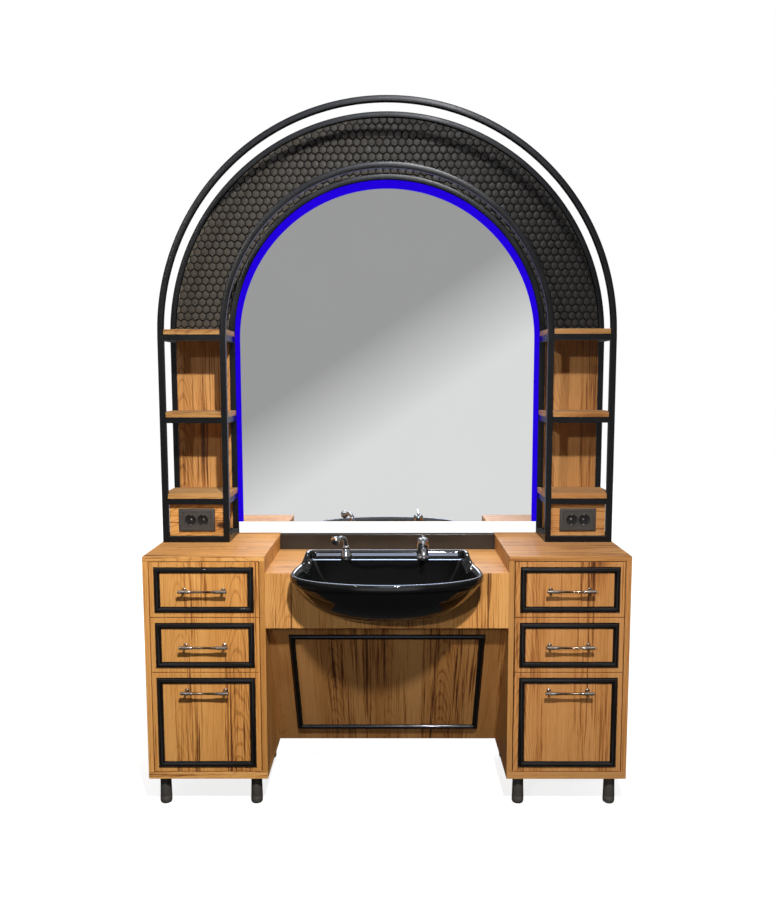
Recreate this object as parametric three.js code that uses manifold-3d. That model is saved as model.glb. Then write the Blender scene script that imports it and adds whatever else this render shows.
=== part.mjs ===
// Salon station: two drawer cabinets either side of a wash basin, with open shelf towers on
// the cabinets that carry a double tube arch, a quilted arch panel and a lit mirror.
// Millimetres, +Z up. The working face looks along -Y, and y = 0 is the cabinets' front plane.
import * as THREE from "three";
import { mergeVertices } from "three/addons/utils/BufferGeometryUtils.js";
import Module from "manifold-3d";

const wasm = await Module();
wasm.setup();

// Cabinets
const STATION_WIDTH = 1600;
const CABINET_WIDTH = 400;
const CABINET_DEPTH = 450;
const CABINET_HEIGHT = 758;
const BOARD = 18;
const TOP_BOARD = 16;
const FLOOR_BOARD = 24;
const REAR_BOARD = 8;
const LEG_HEIGHT = 102;
const LEG_RADIUS = 20;
const LEG_FOOT_RADIUS = 14;
const LEG_FOOT_ROUND = 12;
const LEG_PLATE_RADIUS = 28;
const LEG_PLATE = 5;
const LEG_INSET = 45;

// Clearances
const SEAT_GAP = 0.3;
const FRONT_GAP = 2.5;
const NOTCH_GAP = 1;
const CUTOUT_GAP = 2;
const ARCH_GAP = 0.8;

// Drawers
const SMALL_FRONT_HEIGHT = 184;
const BOX_WALL = 12;
const BOX_REAR_GAP = 24;
const BOX_HEADROOM = 40;
const BOX_SIDE_GAP = 13;
const BOX_RISE = 12;
const RUNNER_HEIGHT = 10;
const RUNNER_WIDTH = 24;
const MOULDING_WIDTH = 20;
const MOULDING_HEIGHT = 9;
const MOULDING_MARGIN = 16;
const HANDLE_LENGTH = 160;
const HANDLE_SPACING = 128;
const HANDLE_STANDOFF = 30;
const HANDLE_RADIUS = 4;
const HANDLE_SLEEVE_RADIUS = 5.5;
const HANDLE_SLEEVE = 42;
const HANDLE_FOOT_RADIUS = 7.5;
const HANDLE_FOOT = 4;
const HANDLE_DROP = 60;

// Wash bay between the cabinets
const DECK_DROP = 56;
const APRON_HEIGHT = 184;
const KNEE_OVERLAP = 20;
const KNEE_DEPTH = 330;
const KNEE_FRAME_SIDE = 70;
const KNEE_FRAME_TOP = 42;
const KNEE_FRAME_BOTTOM = 62;
const UPSTAND_DEPTH = 38;

// Basin
const BASIN_WIDTH = 618;
const BASIN_REACH = 225;
const BASIN_WIDEST_Y = -60;
const BASIN_REAR_Y = 225;
const BASIN_REAR_WIDTH = 566;
const BASIN_CORNER = 34;
const BASIN_LIP = 13;
const BASIN_REAR_RISE = 23;
const BASIN_LEDGE = 16;
const BASIN_RIM = 26;
const BASIN_DEPTH = 154;
const BASIN_WALL = 13;
const BOWL_REAR_Y = 148;
const LIP_OVERHANG = 22;
const FRONT_OVERHANG = 7;
const SKIRT_DROP = 14;
const BOWL_FULLNESS = 3.4;
const DRAIN_Y = 100;
const DRAIN_RADIUS = 22;
const DRAIN_FLAT = 36;
const OUTLINE_POINTS = 52;
const RISE_START_Y = 60;
const OVERHANG_START_Y = -40;
const OVERHANG_END_Y = 0;
const FRONT_LIP_DROP = 10;
const LIP_DROP_START_Y = -15;
const LIP_DROP_END_Y = -70;
const LIP_UNDERCUT = 1.5;
const LIP_CHAMFER = 4;
const LIP_ROLL = 5;
const RIM_FLAT = 14;
const RIM_FALL = 1;
const RIM_STEP = 8;
const MOUTH_STEP = 6;
const MOUTH_DROP = 16;
const MOUTH_START_Y = 20;
const SQUEEZE_START_Y = 40;
const LEDGE_FALL = 2;
const BOWL_SHARES = [0.07, 0.18, 0.34, 0.56, 0.8, 1];

// Waste and taps
const WASTE_RADIUS = 21;
const WASTE_FLANGE_RADIUS = 28;
const WASTE_FLANGE = 3;
const WASTE_CHAMFER = 2;
const TAIL_OVERLAP = 6;
const PIPE_RADIUS = 16;
const TRAP_BEND = 32;
const TRAP_DROP = 56;
const PIPE_HOLE_RADIUS = 22;
const TAP_Y = 180;
const SHOWER_X = -142;
const MIXER_X = 124;
const SHANK_RADIUS = 14;
const SHANK_LENGTH = 62;
const TAP_HOLE_GAP = 0.6;
const MIXER_RADIUS = 20;
const MIXER_FLANGE_RADIUS = 24;
const MIXER_FLANGE = 6;
const MIXER_HEIGHT = 48;
const SPOUT_RADIUS = 9;
const SPOUT_REACH = 96;
const SPOUT_HEIGHT = 36;
const SPOUT_RISE = 8;
const SPOUT_DROP = 22;
const CAP_HEIGHT = 20;
const LEVER_LENGTH = 86;
const LEVER_WIDTH = 14;
const LEVER_THICKNESS = 8;
const LEVER_CREST = 2;
const LEVER_LIFT = 6;
const HOLDER_RADIUS = 19;
const HOLDER_TOP_RADIUS = 13;
const HOLDER_HEIGHT = 30;
const SPRAY_SHANK_RADIUS = 8;
const SPRAY_SHANK_LENGTH = 150;
const SPRAY_COLLAR_RADIUS = 12;
const SPRAY_COLLAR = 12;
const SPRAY_COLLAR_CHAMFER = 3;
const SPRAY_NECK_SINK = 4;
const SPRAY_CREST = 6;
const SPRAY_NECK_RADIUS = 8;
const SPRAY_REACH = 36;
const SPRAY_RISE = 30;
const SPRAY_HEAD_RADIUS = 16;
const SPRAY_HEAD = 20;

// Towers and arch
const TUBE = 20;
const TOWER_INSET = 5;
const TOWER_WIDTH = 236;
const TOWER_DEPTH = 200;
const FIRST_SHELF = 156;
const SHELF_PITCH = 287;
const SHELF_COUNT = 3;
const SHELF_BOARD = 18;
const TOWER_BACK = 10;
const TOWER_BACK_INSET = 7;
const ARCH_SEGMENTS = 24;

// Sockets
const PLATE_WIDTH = 128;
const PLATE_HEIGHT = 80;
const PLATE_THICKNESS = 9;
const SOCKET_BOX_WIDTH = 104;
const SOCKET_BOX_HEIGHT = 56;
const SOCKET_BOX_DEPTH = 34;
const WELL_RADIUS = 19.5;
const WELL_DEPTH = 17;
const WELL_SPACING = 44;

// Mirror, light and arch panel
const MIRROR_GAP = 44;
const MIRROR_THICKNESS = 10;
const MIRROR_SINK = 12;
const LIGHT_WIDTH = 17;
const LIGHT_THICKNESS = 12;
const PANEL_THICKNESS = 14;
const REAR_INSET = 3;

// Places worked out from the sizes
const HALF_WIDTH = STATION_WIDTH / 2;
const BAY_HALF = HALF_WIDTH - CABINET_WIDTH;
const COUNTER_Z = LEG_HEIGHT + CABINET_HEIGHT;
const INNER_DEPTH = CABINET_DEPTH - REAR_BOARD;
const BOX_LENGTH = INNER_DEPTH - BOARD - BOX_REAR_GAP;
const DECK_Z = COUNTER_Z - DECK_DROP;
const APRON_Z = DECK_Z - APRON_HEIGHT;
const UPSTAND_Y = INNER_DEPTH - UPSTAND_DEPTH;
const TOWER_OUT = HALF_WIDTH - TOWER_INSET;
const TOWER_IN = TOWER_OUT - TOWER_WIDTH;
const TOWER_FRONT = CABINET_DEPTH - TOWER_DEPTH;
const TOWER_REAR = CABINET_DEPTH;
const SPRING_Z = COUNTER_Z + FIRST_SHELF + (SHELF_COUNT - 1) * SHELF_PITCH;
const MIRROR_SPRING_Z = SPRING_Z - MIRROR_SINK;
const LEDGE_Z = DECK_Z + BASIN_LEDGE;
const BOWL_FLOOR_Z = DECK_Z - BASIN_DEPTH + BASIN_WALL;

// Finishes: colour, roughness, metalness
const OAK = [0xcf9f5c, 0.55, 0];
const OAK_DARK = [0xa8763c, 0.55, 0];
const MELAMINE = [0xc9a36a, 0.6, 0];
const BLACK_STEEL = [0x1c1a19, 0.4, 0.6];
const BLACK_LACQUER = [0x17130f, 0.3, 0.1];
const BLACK_PLASTIC = [0x141414, 0.5, 0];
const BLACK_GLAZE = [0x0a0a0b, 0.08, 0];
const CHROME = [0xd6d8da, 0.12, 1];
const GREY_PLASTIC = [0x3a3a3c, 0.5, 0];
const LEATHER = [0x3b342e, 0.6, 0];
const MIRROR = [0xc8cccf, 0.05, 1];
const BLUE_LIGHT = [0x2408e6, 0.4, 0];

const lerp = THREE.MathUtils.lerp;

const station = new THREE.Group();

function addPart(name, geometry, [color, roughness, metalness]) {
  const mesh = new THREE.Mesh(
    geometry,
    new THREE.MeshStandardMaterial({ color, roughness, metalness }),
  );
  mesh.name = name;
  station.add(mesh);
  return mesh;
}

// A box between two opposite corners.
function board(low, high) {
  const size = high.map((value, axis) => value - low[axis]);
  const centre = high.map((value, axis) => (value + low[axis]) / 2);
  const place = new THREE.Matrix4().makeScale(...size).setPosition(...centre);
  return new THREE.BoxGeometry().applyMatrix4(place);
}

// A board on one side of the station, given by its inner and outer x for side +1 and mirrored for -1.
function sideBoard(side, inner, outer, y0, y1, z0, z1) {
  const xs = [side * inner, side * outer].sort((a, b) => a - b);
  return board([xs[0], y0, z0], [xs[1], y1, z1]);
}

function toSolid(geometry) {
  const bare = geometry.clone();
  bare.deleteAttribute("normal");
  bare.deleteAttribute("uv");
  const merged = mergeVertices(bare, 1e-4);
  return new wasm.Manifold(
    new wasm.Mesh({
      numProp: 3,
      vertProperties: merged.attributes.position.array,
      triVerts: new Uint32Array(merged.index.array),
    }),
  );
}

function toGeometry(solid) {
  const mesh = solid.getMesh();
  const geometry = new THREE.BufferGeometry();
  geometry.setAttribute(
    "position",
    new THREE.BufferAttribute(new Float32Array(mesh.vertProperties), 3),
  );
  geometry.setIndex(new THREE.BufferAttribute(new Uint32Array(mesh.triVerts), 1));
  geometry.computeVertexNormals();
  return geometry;
}

function join(first, ...others) {
  const sum = others.reduce((solid, other) => solid.add(toSolid(other)), toSolid(first));
  return toGeometry(sum);
}

function cut(first, ...tools) {
  const rest = tools.reduce((solid, tool) => solid.subtract(toSolid(tool)), toSolid(first));
  return toGeometry(rest);
}

function signedVolume(points, index) {
  let volume = 0;
  for (let i = 0; i < index.length; i += 3) {
    const [a, b, c] = [points[index[i]], points[index[i + 1]], points[index[i + 2]]];
    volume += a.dot(new THREE.Vector3().crossVectors(b, c)) / 6;
  }
  return volume;
}

// A skin over rings of equally many points. It closes on its first ring, or with a cap at each end.
function skin(rings, capped = false) {
  const count = rings[0].length;
  const points = rings.flat();
  const index = [];
  const bands = capped ? rings.length - 1 : rings.length;
  for (let r = 0; r < bands; r += 1) {
    const next = ((r + 1) % rings.length) * count;
    for (let i = 0; i < count; i += 1) {
      const j = (i + 1) % count;
      const a = r * count + i;
      const b = r * count + j;
      index.push(a, b, next + j, a, next + j, next + i);
    }
  }
  if (capped) {
    const last = (rings.length - 1) * count;
    for (let i = 0; i < count; i += 1) {
      const j = (i + 1) % count;
      index.push(points.length, j, i, points.length + 1, last + i, last + j);
    }
    points.push(middle(rings[0]), middle(rings[rings.length - 1]));
  }
  if (signedVolume(points, index) < 0) index.reverse();
  const geometry = new THREE.BufferGeometry().setFromPoints(points);
  geometry.setIndex(index);
  geometry.computeVertexNormals();
  return geometry;
}

function middle(ring) {
  const sum = ring.reduce((total, point) => total.add(point), new THREE.Vector3());
  return sum.divideScalar(ring.length);
}

// A turned piece standing on +Z: the profile holds [radius, height] pairs.
function turned(profile, segments) {
  const points = profile.map(([radius, height]) => new THREE.Vector2(radius, height));
  return new THREE.LatheGeometry(points, segments).rotateX(Math.PI / 2);
}

function rod(radius, length, segments) {
  const profile = [
    [0, 0],
    [radius, 0],
    [radius, length],
    [0, length],
  ];
  return turned(profile, segments);
}

// A flat shape drawn in x and z, standing between two depths.
function standing(shape, y0, y1) {
  const options = { depth: y1 - y0, bevelEnabled: false, curveSegments: ARCH_SEGMENTS };
  return new THREE.ExtrudeGeometry(shape, options).rotateX(Math.PI / 2).translate(0, y1, 0);
}

// A round bar along a curve.
function bar(curve, radius, steps, sides) {
  const section = new THREE.Shape();
  for (let i = 0; i < sides; i += 1) {
    const angle = (2 * Math.PI * i) / sides;
    const x = radius * Math.cos(angle);
    const y = radius * Math.sin(angle);
    if (i === 0) section.moveTo(x, y);
    else section.lineTo(x, y);
  }
  return new THREE.ExtrudeGeometry(section, { steps, extrudePath: curve, bevelEnabled: false });
}

// A mitred picture-frame moulding, centred on the origin, flat on y = 0 and proud towards -Y.
function moulding(width, height) {
  const profile = [
    [0, 0],
    [0, 0.35],
    [0.14, 0.72],
    [0.34, 0.96],
    [0.5, 1],
    [0.66, 0.96],
    [0.86, 0.72],
    [1, 0.35],
    [1, 0],
  ];
  const rings = profile.map(([across, proud]) => {
    const x = width / 2 - across * MOULDING_WIDTH;
    const z = height / 2 - across * MOULDING_WIDTH;
    const y = -proud * MOULDING_HEIGHT;
    return [
      [-x, -z],
      [x, -z],
      [x, z],
      [-x, z],
    ].map(([cx, cz]) => new THREE.Vector3(cx, y, cz));
  });
  return skin(rings);
}

// A bar handle, centred on the origin, with its feet on y = 0 and its bar towards -Y.
function handle() {
  const half = HANDLE_LENGTH / 2;
  const waist = half - HANDLE_SLEEVE;
  const profile = [
    [0, -half],
    [HANDLE_SLEEVE_RADIUS, -half],
    [HANDLE_SLEEVE_RADIUS, -waist],
    [HANDLE_RADIUS, -waist],
    [HANDLE_RADIUS, waist],
    [HANDLE_SLEEVE_RADIUS, waist],
    [HANDLE_SLEEVE_RADIUS, half],
    [0, half],
  ];
  const grip = turned(profile, 12).rotateY(Math.PI / 2).translate(0, -HANDLE_STANDOFF, 0);
  const foot = [
    [0, 0],
    [HANDLE_FOOT_RADIUS, 0],
    [HANDLE_FOOT_RADIUS, HANDLE_FOOT],
    [HANDLE_RADIUS, HANDLE_FOOT],
    [HANDLE_RADIUS, HANDLE_STANDOFF],
    [0, HANDLE_STANDOFF],
  ];
  const posts = [-1, 1].map((end) =>
    turned(foot, 12).rotateX(Math.PI / 2).translate((end * HANDLE_SPACING) / 2, 0, 0),
  );
  return join(grip, ...posts);
}

// The three fronts of a cabinet from the top down: name, lowest and highest z, and the handle's height.
function frontRows() {
  const top = COUNTER_Z - TOP_BOARD - FRONT_GAP;
  const bottom = LEG_HEIGHT + FLOOR_BOARD + FRONT_GAP;
  const second = top - SMALL_FRONT_HEIGHT - FRONT_GAP;
  const third = second - SMALL_FRONT_HEIGHT - FRONT_GAP;
  return [
    { name: "top", low: top - SMALL_FRONT_HEIGHT, high: top, grip: top - SMALL_FRONT_HEIGHT / 2 },
    {
      name: "middle",
      low: second - SMALL_FRONT_HEIGHT,
      high: second,
      grip: second - SMALL_FRONT_HEIGHT / 2,
    },
    { name: "bottom", low: bottom, high: third, grip: third - HANDLE_DROP },
  ];
}

// A drawer: an open box behind its inset front.
function drawer(centre, row) {
  const half = CABINET_WIDTH / 2 - BOARD;
  const frontHalf = half - FRONT_GAP;
  const boxHalf = half - BOX_SIDE_GAP;
  const floor = row.low + BOX_RISE;
  const top = row.high - BOX_HEADROOM;
  const front = board([centre - frontHalf, 0, row.low], [centre + frontHalf, BOARD, row.high]);
  const outside = board(
    [centre - boxHalf, BOARD / 2, floor],
    [centre + boxHalf, BOARD + BOX_LENGTH, top],
  );
  const inside = board(
    [centre - boxHalf + BOX_WALL, BOARD + BOX_WALL, floor + BOX_WALL],
    [centre + boxHalf - BOX_WALL, BOARD + BOX_LENGTH - BOX_WALL, top + BOX_WALL],
  );
  return join(front, cut(outside, inside));
}

// A cabinet side with the ledges that its drawers run on.
function cabinetSide(side, outerFace, innerFace) {
  const into = Math.sign(innerFace - outerFace);
  const [x0, x1] = [outerFace, innerFace].sort((a, b) => a - b);
  const [z0, z1] = [LEG_HEIGHT + FLOOR_BOARD, COUNTER_Z - TOP_BOARD];
  const panel = sideBoard(side, x0, x1, 0, INNER_DEPTH, z0, z1);
  const ledges = frontRows().map((row) => {
    const top = row.low + BOX_RISE - SEAT_GAP;
    const from = BOARD + SEAT_GAP;
    const inner = innerFace + into * RUNNER_WIDTH;
    const middleX = (outerFace + innerFace) / 2;
    const [l0, l1] = [middleX, inner].sort((a, b) => a - b);
    return sideBoard(side, l0, l1, from, BOARD + BOX_LENGTH, top - RUNNER_HEIGHT, top);
  });
  return join(panel, ...ledges);
}

function leg(x, y) {
  const profile = [
    [0, 0],
    [LEG_FOOT_RADIUS, 0],
    [lerp(LEG_FOOT_RADIUS, LEG_RADIUS, 0.77), LEG_FOOT_ROUND * 0.37],
    [LEG_RADIUS, LEG_FOOT_ROUND],
    [LEG_RADIUS, LEG_HEIGHT - LEG_PLATE],
    [LEG_PLATE_RADIUS, LEG_HEIGHT - LEG_PLATE],
    [LEG_PLATE_RADIUS, LEG_HEIGHT],
    [0, LEG_HEIGHT],
  ];
  return turned(profile, 12).translate(x, y, 0);
}

function addCabinet(name, side) {
  const centre = side * (HALF_WIDTH - CABINET_WIDTH / 2);
  addPart(`${name}_outer_side`, cabinetSide(side, HALF_WIDTH, HALF_WIDTH - BOARD), OAK);
  addPart(`${name}_inner_side`, cabinetSide(side, BAY_HALF, BAY_HALF + BOARD), OAK);
  const top = sideBoard(
    side,
    BAY_HALF,
    HALF_WIDTH,
    0,
    CABINET_DEPTH,
    COUNTER_Z - TOP_BOARD,
    COUNTER_Z,
  );
  addPart(`${name}_top`, top, OAK);
  const floor = sideBoard(
    side,
    BAY_HALF,
    HALF_WIDTH,
    0,
    INNER_DEPTH,
    LEG_HEIGHT,
    LEG_HEIGHT + FLOOR_BOARD,
  );
  addPart(`${name}_floor`, floor, OAK);
  const frontWidth = CABINET_WIDTH - 2 * BOARD - 2 * FRONT_GAP;
  frontRows().forEach((row) => {
    const rowMiddle = (row.low + row.high) / 2;
    const frameWidth = frontWidth - 2 * MOULDING_MARGIN;
    const frameHeight = row.high - row.low - 2 * MOULDING_MARGIN;
    addPart(`${name}_drawer_${row.name}`, drawer(centre, row), OAK);
    addPart(
      `${name}_moulding_${row.name}`,
      moulding(frameWidth, frameHeight).translate(centre, 0, rowMiddle),
      BLACK_LACQUER,
    );
    addPart(`${name}_handle_${row.name}`, handle().translate(centre, 0, row.grip), CHROME);
  });
  for (const [across, x] of [
    ["outer", HALF_WIDTH - LEG_INSET],
    ["inner", BAY_HALF + LEG_INSET],
  ]) {
    for (const [along, y] of [
      ["front", LEG_INSET],
      ["rear", INNER_DEPTH - LEG_INSET],
    ]) {
      addPart(`${name}_leg_${along}_${across}`, leg(side * x, y), BLACK_PLASTIC);
    }
  }
}

// Basin outline seen from above, anticlockwise from the middle of its front.
function basinOutline() {
  const half = BASIN_WIDTH / 2;
  const rearHalf = BASIN_REAR_WIDTH / 2;
  const cornerX = rearHalf - BASIN_CORNER;
  const cornerY = BASIN_REAR_Y - BASIN_CORNER;
  const bulge = (cornerY - BASIN_WIDEST_Y) / 2;
  const frontRadius = BASIN_REACH + BASIN_WIDEST_Y;
  const path = new THREE.Path();
  path.moveTo(0, -BASIN_REACH);
  path.absellipse(0, BASIN_WIDEST_Y, half, frontRadius, -Math.PI / 2, 0, false);
  path.bezierCurveTo(
    half,
    BASIN_WIDEST_Y + bulge,
    rearHalf,
    cornerY - bulge,
    rearHalf,
    cornerY,
  );
  path.absarc(cornerX, cornerY, BASIN_CORNER, 0, Math.PI / 2, false);
  path.lineTo(-cornerX, BASIN_REAR_Y);
  path.absarc(-cornerX, cornerY, BASIN_CORNER, Math.PI / 2, Math.PI, false);
  path.bezierCurveTo(
    -rearHalf,
    cornerY - bulge,
    -half,
    BASIN_WIDEST_Y + bulge,
    -half,
    BASIN_WIDEST_Y,
  );
  path.absellipse(0, BASIN_WIDEST_Y, half, frontRadius, Math.PI, 1.5 * Math.PI, false);
  return path.getSpacedPoints(OUTLINE_POINTS).slice(0, -1);
}

function blend(from, to, value) {
  return THREE.MathUtils.smoothstep(value, from, to);
}

// The outline moved inwards by a distance that may change along y.
function inset(outline, distance) {
  const count = outline.length;
  return outline.map((point, i) => {
    const before = outline[(i + count - 1) % count];
    const after = outline[(i + 1) % count];
    const along = after.clone().sub(before).normalize();
    const amount = typeof distance === "function" ? distance(point.y) : distance;
    return new THREE.Vector2(point.x - along.y * amount, point.y + along.x * amount);
  });
}

function raise(outline, height) {
  return outline.map(
    (p) => new THREE.Vector3(p.x, p.y, typeof height === "function" ? height(p.y) : height),
  );
}

// The points of a circle round the drain that face the outline's points.
function drainRing(outline, radius) {
  return outline.map((p) => {
    const angle = Math.atan2(p.y - DRAIN_Y, p.x);
    return new THREE.Vector2(radius * Math.cos(angle), DRAIN_Y + radius * Math.sin(angle));
  });
}

// Rings of a bowl that runs from an outline down to a flat round the drain.
function bowlRings(outline, topZ, floorZ, flat) {
  const target = drainRing(outline, flat);
  return BOWL_SHARES.map((share) => {
    const drop = 1 - (1 - share) ** BOWL_FULLNESS;
    return outline.map((p, i) => {
      const spot = p.clone().lerp(target[i], share);
      const from = typeof topZ === "function" ? topZ(p.y) : topZ;
      return new THREE.Vector3(spot.x, spot.y, lerp(from, floorZ, drop));
    });
  });
}

const rearShare = (y) => blend(RISE_START_Y, BASIN_REAR_Y - BASIN_CORNER, y);
const overhang = (y) =>
  lerp(FRONT_OVERHANG, LIP_OVERHANG, blend(OVERHANG_START_Y, OVERHANG_END_Y, y));

// The underside of the basin below the deck, grown by a clearance to cut the boards it passes through.
function basinCutter() {
  const outline = inset(basinOutline(), (y) => overhang(y) - CUTOUT_GAP);
  const skirtZ = DECK_Z - SKIRT_DROP;
  const floorZ = DECK_Z - BASIN_DEPTH - CUTOUT_GAP;
  const rings = [
    raise(outline, COUNTER_Z),
    raise(outline, skirtZ - CUTOUT_GAP),
    ...bowlRings(outline, skirtZ - CUTOUT_GAP, floorZ, DRAIN_FLAT + CUTOUT_GAP),
  ];
  return skin(rings, true);
}

function basin() {
  const lip = basinOutline();
  const lipBottom = (y) =>
    lerp(DECK_Z - FRONT_LIP_DROP, DECK_Z + SEAT_GAP, blend(LIP_DROP_END_Y, LIP_DROP_START_Y, y));
  const rim = (y) => DECK_Z + BASIN_LIP + BASIN_REAR_RISE * rearShare(y);
  const ledge = (y) => lerp(rim(y) - RIM_STEP, LEDGE_Z, rearShare(y));
  const body = inset(lip, overhang);
  const shelf = inset(lip, BASIN_RIM - MOUTH_STEP);
  const mouth = inset(lip, BASIN_RIM).map((p) => {
    const past = p.y - SQUEEZE_START_Y;
    const squeeze = (BOWL_REAR_Y - SQUEEZE_START_Y) / (BASIN_REAR_Y - BASIN_RIM - SQUEEZE_START_Y);
    return new THREE.Vector2(p.x, past > 0 ? SQUEEZE_START_Y + past * squeeze : p.y);
  });
  const mouthZ = (y) =>
    lerp(rim(y) - MOUTH_DROP, LEDGE_Z - LEDGE_FALL, blend(MOUTH_START_Y, BOWL_REAR_Y, y));
  const underside = DECK_Z - BASIN_DEPTH;
  const skirtZ = DECK_Z - SKIRT_DROP;
  const rings = [
    ...bowlRings(body, skirtZ, underside, DRAIN_FLAT).reverse(),
    raise(body, skirtZ),
    raise(body, lipBottom),
    raise(inset(lip, LIP_UNDERCUT), lipBottom),
    raise(lip, (y) => lipBottom(y) + LIP_CHAMFER),
    raise(lip, (y) => rim(y) - LIP_ROLL),
    raise(inset(lip, LIP_CHAMFER), rim),
    raise(inset(lip, RIM_FLAT), (y) => rim(y) - RIM_FALL),
    raise(shelf, ledge),
    raise(mouth, mouthZ),
    ...bowlRings(mouth, mouthZ, BOWL_FLOOR_Z, DRAIN_FLAT),
  ];
  const holes = [SHOWER_X, MIXER_X].map((x) =>
    rod(SHANK_RADIUS + TAP_HOLE_GAP, COUNTER_Z - APRON_Z, 20).translate(x, TAP_Y, APRON_Z),
  );
  const drain = rod(DRAIN_RADIUS, BASIN_DEPTH, 24).translate(0, DRAIN_Y, underside - BASIN_WALL);
  return cut(skin(rings, true), ...holes, drain);
}

// The slanted board behind the knees, and its front face's slope.
const KNEE_TOP_Y = BOARD + SEAT_GAP;
const KNEE_TOP_Z = APRON_Z + KNEE_OVERLAP;
const KNEE_RUN = KNEE_DEPTH - KNEE_TOP_Y;
const KNEE_FALL = KNEE_TOP_Z - LEG_HEIGHT;
const KNEE_SLOPE = Math.hypot(KNEE_RUN, KNEE_FALL);

function kneePanel() {
  const thick = (BOARD * KNEE_SLOPE) / KNEE_FALL;
  const section = new THREE.Shape();
  section.moveTo(KNEE_TOP_Y, KNEE_TOP_Z);
  section.lineTo(KNEE_DEPTH, LEG_HEIGHT);
  section.lineTo(KNEE_DEPTH + thick, LEG_HEIGHT);
  section.lineTo(KNEE_TOP_Y + thick, KNEE_TOP_Z);
  const slab = new THREE.ExtrudeGeometry(section, { depth: 2 * BAY_HALF, bevelEnabled: false });
  const axes = new THREE.Matrix4().makeBasis(
    new THREE.Vector3(0, 1, 0),
    new THREE.Vector3(0, 0, 1),
    new THREE.Vector3(1, 0, 0),
  );
  return slab.applyMatrix4(axes).translate(-BAY_HALF, 0, 0);
}

function addKneeMoulding() {
  const overlap = (KNEE_OVERLAP * KNEE_SLOPE) / KNEE_FALL;
  const top = overlap + KNEE_FRAME_TOP;
  const height = KNEE_SLOPE - top - KNEE_FRAME_BOTTOM;
  const frame = addPart(
    "knee_moulding",
    moulding(2 * (BAY_HALF - KNEE_FRAME_SIDE), height),
    BLACK_LACQUER,
  );
  const share = (top + height / 2) / KNEE_SLOPE;
  const tilt = Math.atan2(KNEE_RUN, KNEE_FALL);
  frame.position.set(
    0,
    KNEE_TOP_Y + KNEE_RUN * share - SEAT_GAP * Math.cos(tilt),
    KNEE_TOP_Z - KNEE_FALL * share - SEAT_GAP * Math.sin(tilt),
  );
  frame.rotation.x = tilt;
}

function addWashBay() {
  const cutter = basinCutter();
  const deck = board(
    [-BAY_HALF, BOARD, DECK_Z - BOARD],
    [BAY_HALF, INNER_DEPTH, DECK_Z],
  );
  addPart("deck", cut(deck, cutter), OAK);
  const apron = board([-BAY_HALF, 0, APRON_Z], [BAY_HALF, BOARD, DECK_Z]);
  addPart("apron", cut(apron, cutter), OAK);
  addPart("knee_panel", kneePanel(), OAK_DARK);
  addKneeMoulding();
  addPart(
    "upstand",
    board([-BAY_HALF, UPSTAND_Y, DECK_Z], [BAY_HALF, INNER_DEPTH, COUNTER_Z]),
    BLACK_LACQUER,
  );
  addPart("basin", basin(), BLACK_GLAZE);
}

const PIPE_Z = DECK_Z - BASIN_DEPTH - TRAP_DROP;

// Waste flange, trap and outlet pipe.
function wasteTrap() {
  const flangeZ = BOWL_FLOOR_Z + SEAT_GAP;
  const tail = [
    [0, PIPE_Z],
    [WASTE_RADIUS, PIPE_Z],
    [WASTE_RADIUS, flangeZ],
    [WASTE_FLANGE_RADIUS, flangeZ],
    [WASTE_FLANGE_RADIUS - WASTE_CHAMFER, flangeZ + WASTE_FLANGE],
    [0, flangeZ + WASTE_FLANGE],
  ];
  const bend = new THREE.CurvePath();
  const at = (y, z) => new THREE.Vector3(0, y, z);
  const quarter = (from, corner, to) => new THREE.QuadraticBezierCurve3(from, corner, to);
  const low = PIPE_Z - TRAP_BEND;
  const out = DRAIN_Y + 2 * TRAP_BEND;
  const back = out + TRAP_BEND;
  bend.add(new THREE.LineCurve3(at(DRAIN_Y, PIPE_Z + TAIL_OVERLAP), at(DRAIN_Y, PIPE_Z)));
  bend.add(quarter(at(DRAIN_Y, PIPE_Z), at(DRAIN_Y, low), at(DRAIN_Y + TRAP_BEND, low)));
  bend.add(quarter(at(DRAIN_Y + TRAP_BEND, low), at(out, low), at(out, PIPE_Z)));
  bend.add(quarter(at(out, PIPE_Z), at(out, PIPE_Z + TRAP_BEND), at(back, PIPE_Z + TRAP_BEND)));
  bend.add(
    new THREE.LineCurve3(at(back, PIPE_Z + TRAP_BEND), at(CABINET_DEPTH, PIPE_Z + TRAP_BEND)),
  );
  return join(turned(tail, 16).translate(0, DRAIN_Y, 0), bar(bend, PIPE_RADIUS, 22, 12));
}

function rearPanel() {
  const panel = board(
    [-HALF_WIDTH, INNER_DEPTH, LEG_HEIGHT],
    [HALF_WIDTH, CABINET_DEPTH, COUNTER_Z - TOP_BOARD],
  );
  const hole = rod(PIPE_HOLE_RADIUS, 4 * REAR_BOARD, 20)
    .rotateX(-Math.PI / 2)
    .translate(0, INNER_DEPTH - REAR_BOARD, PIPE_Z + TRAP_BEND);
  return cut(panel, hole);
}

const TAP_Z = LEDGE_Z + SEAT_GAP;
const CAP_Z = TAP_Z + MIXER_HEIGHT + SEAT_GAP;
const LEVER_Z = CAP_Z + CAP_HEIGHT + SEAT_GAP;

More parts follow.
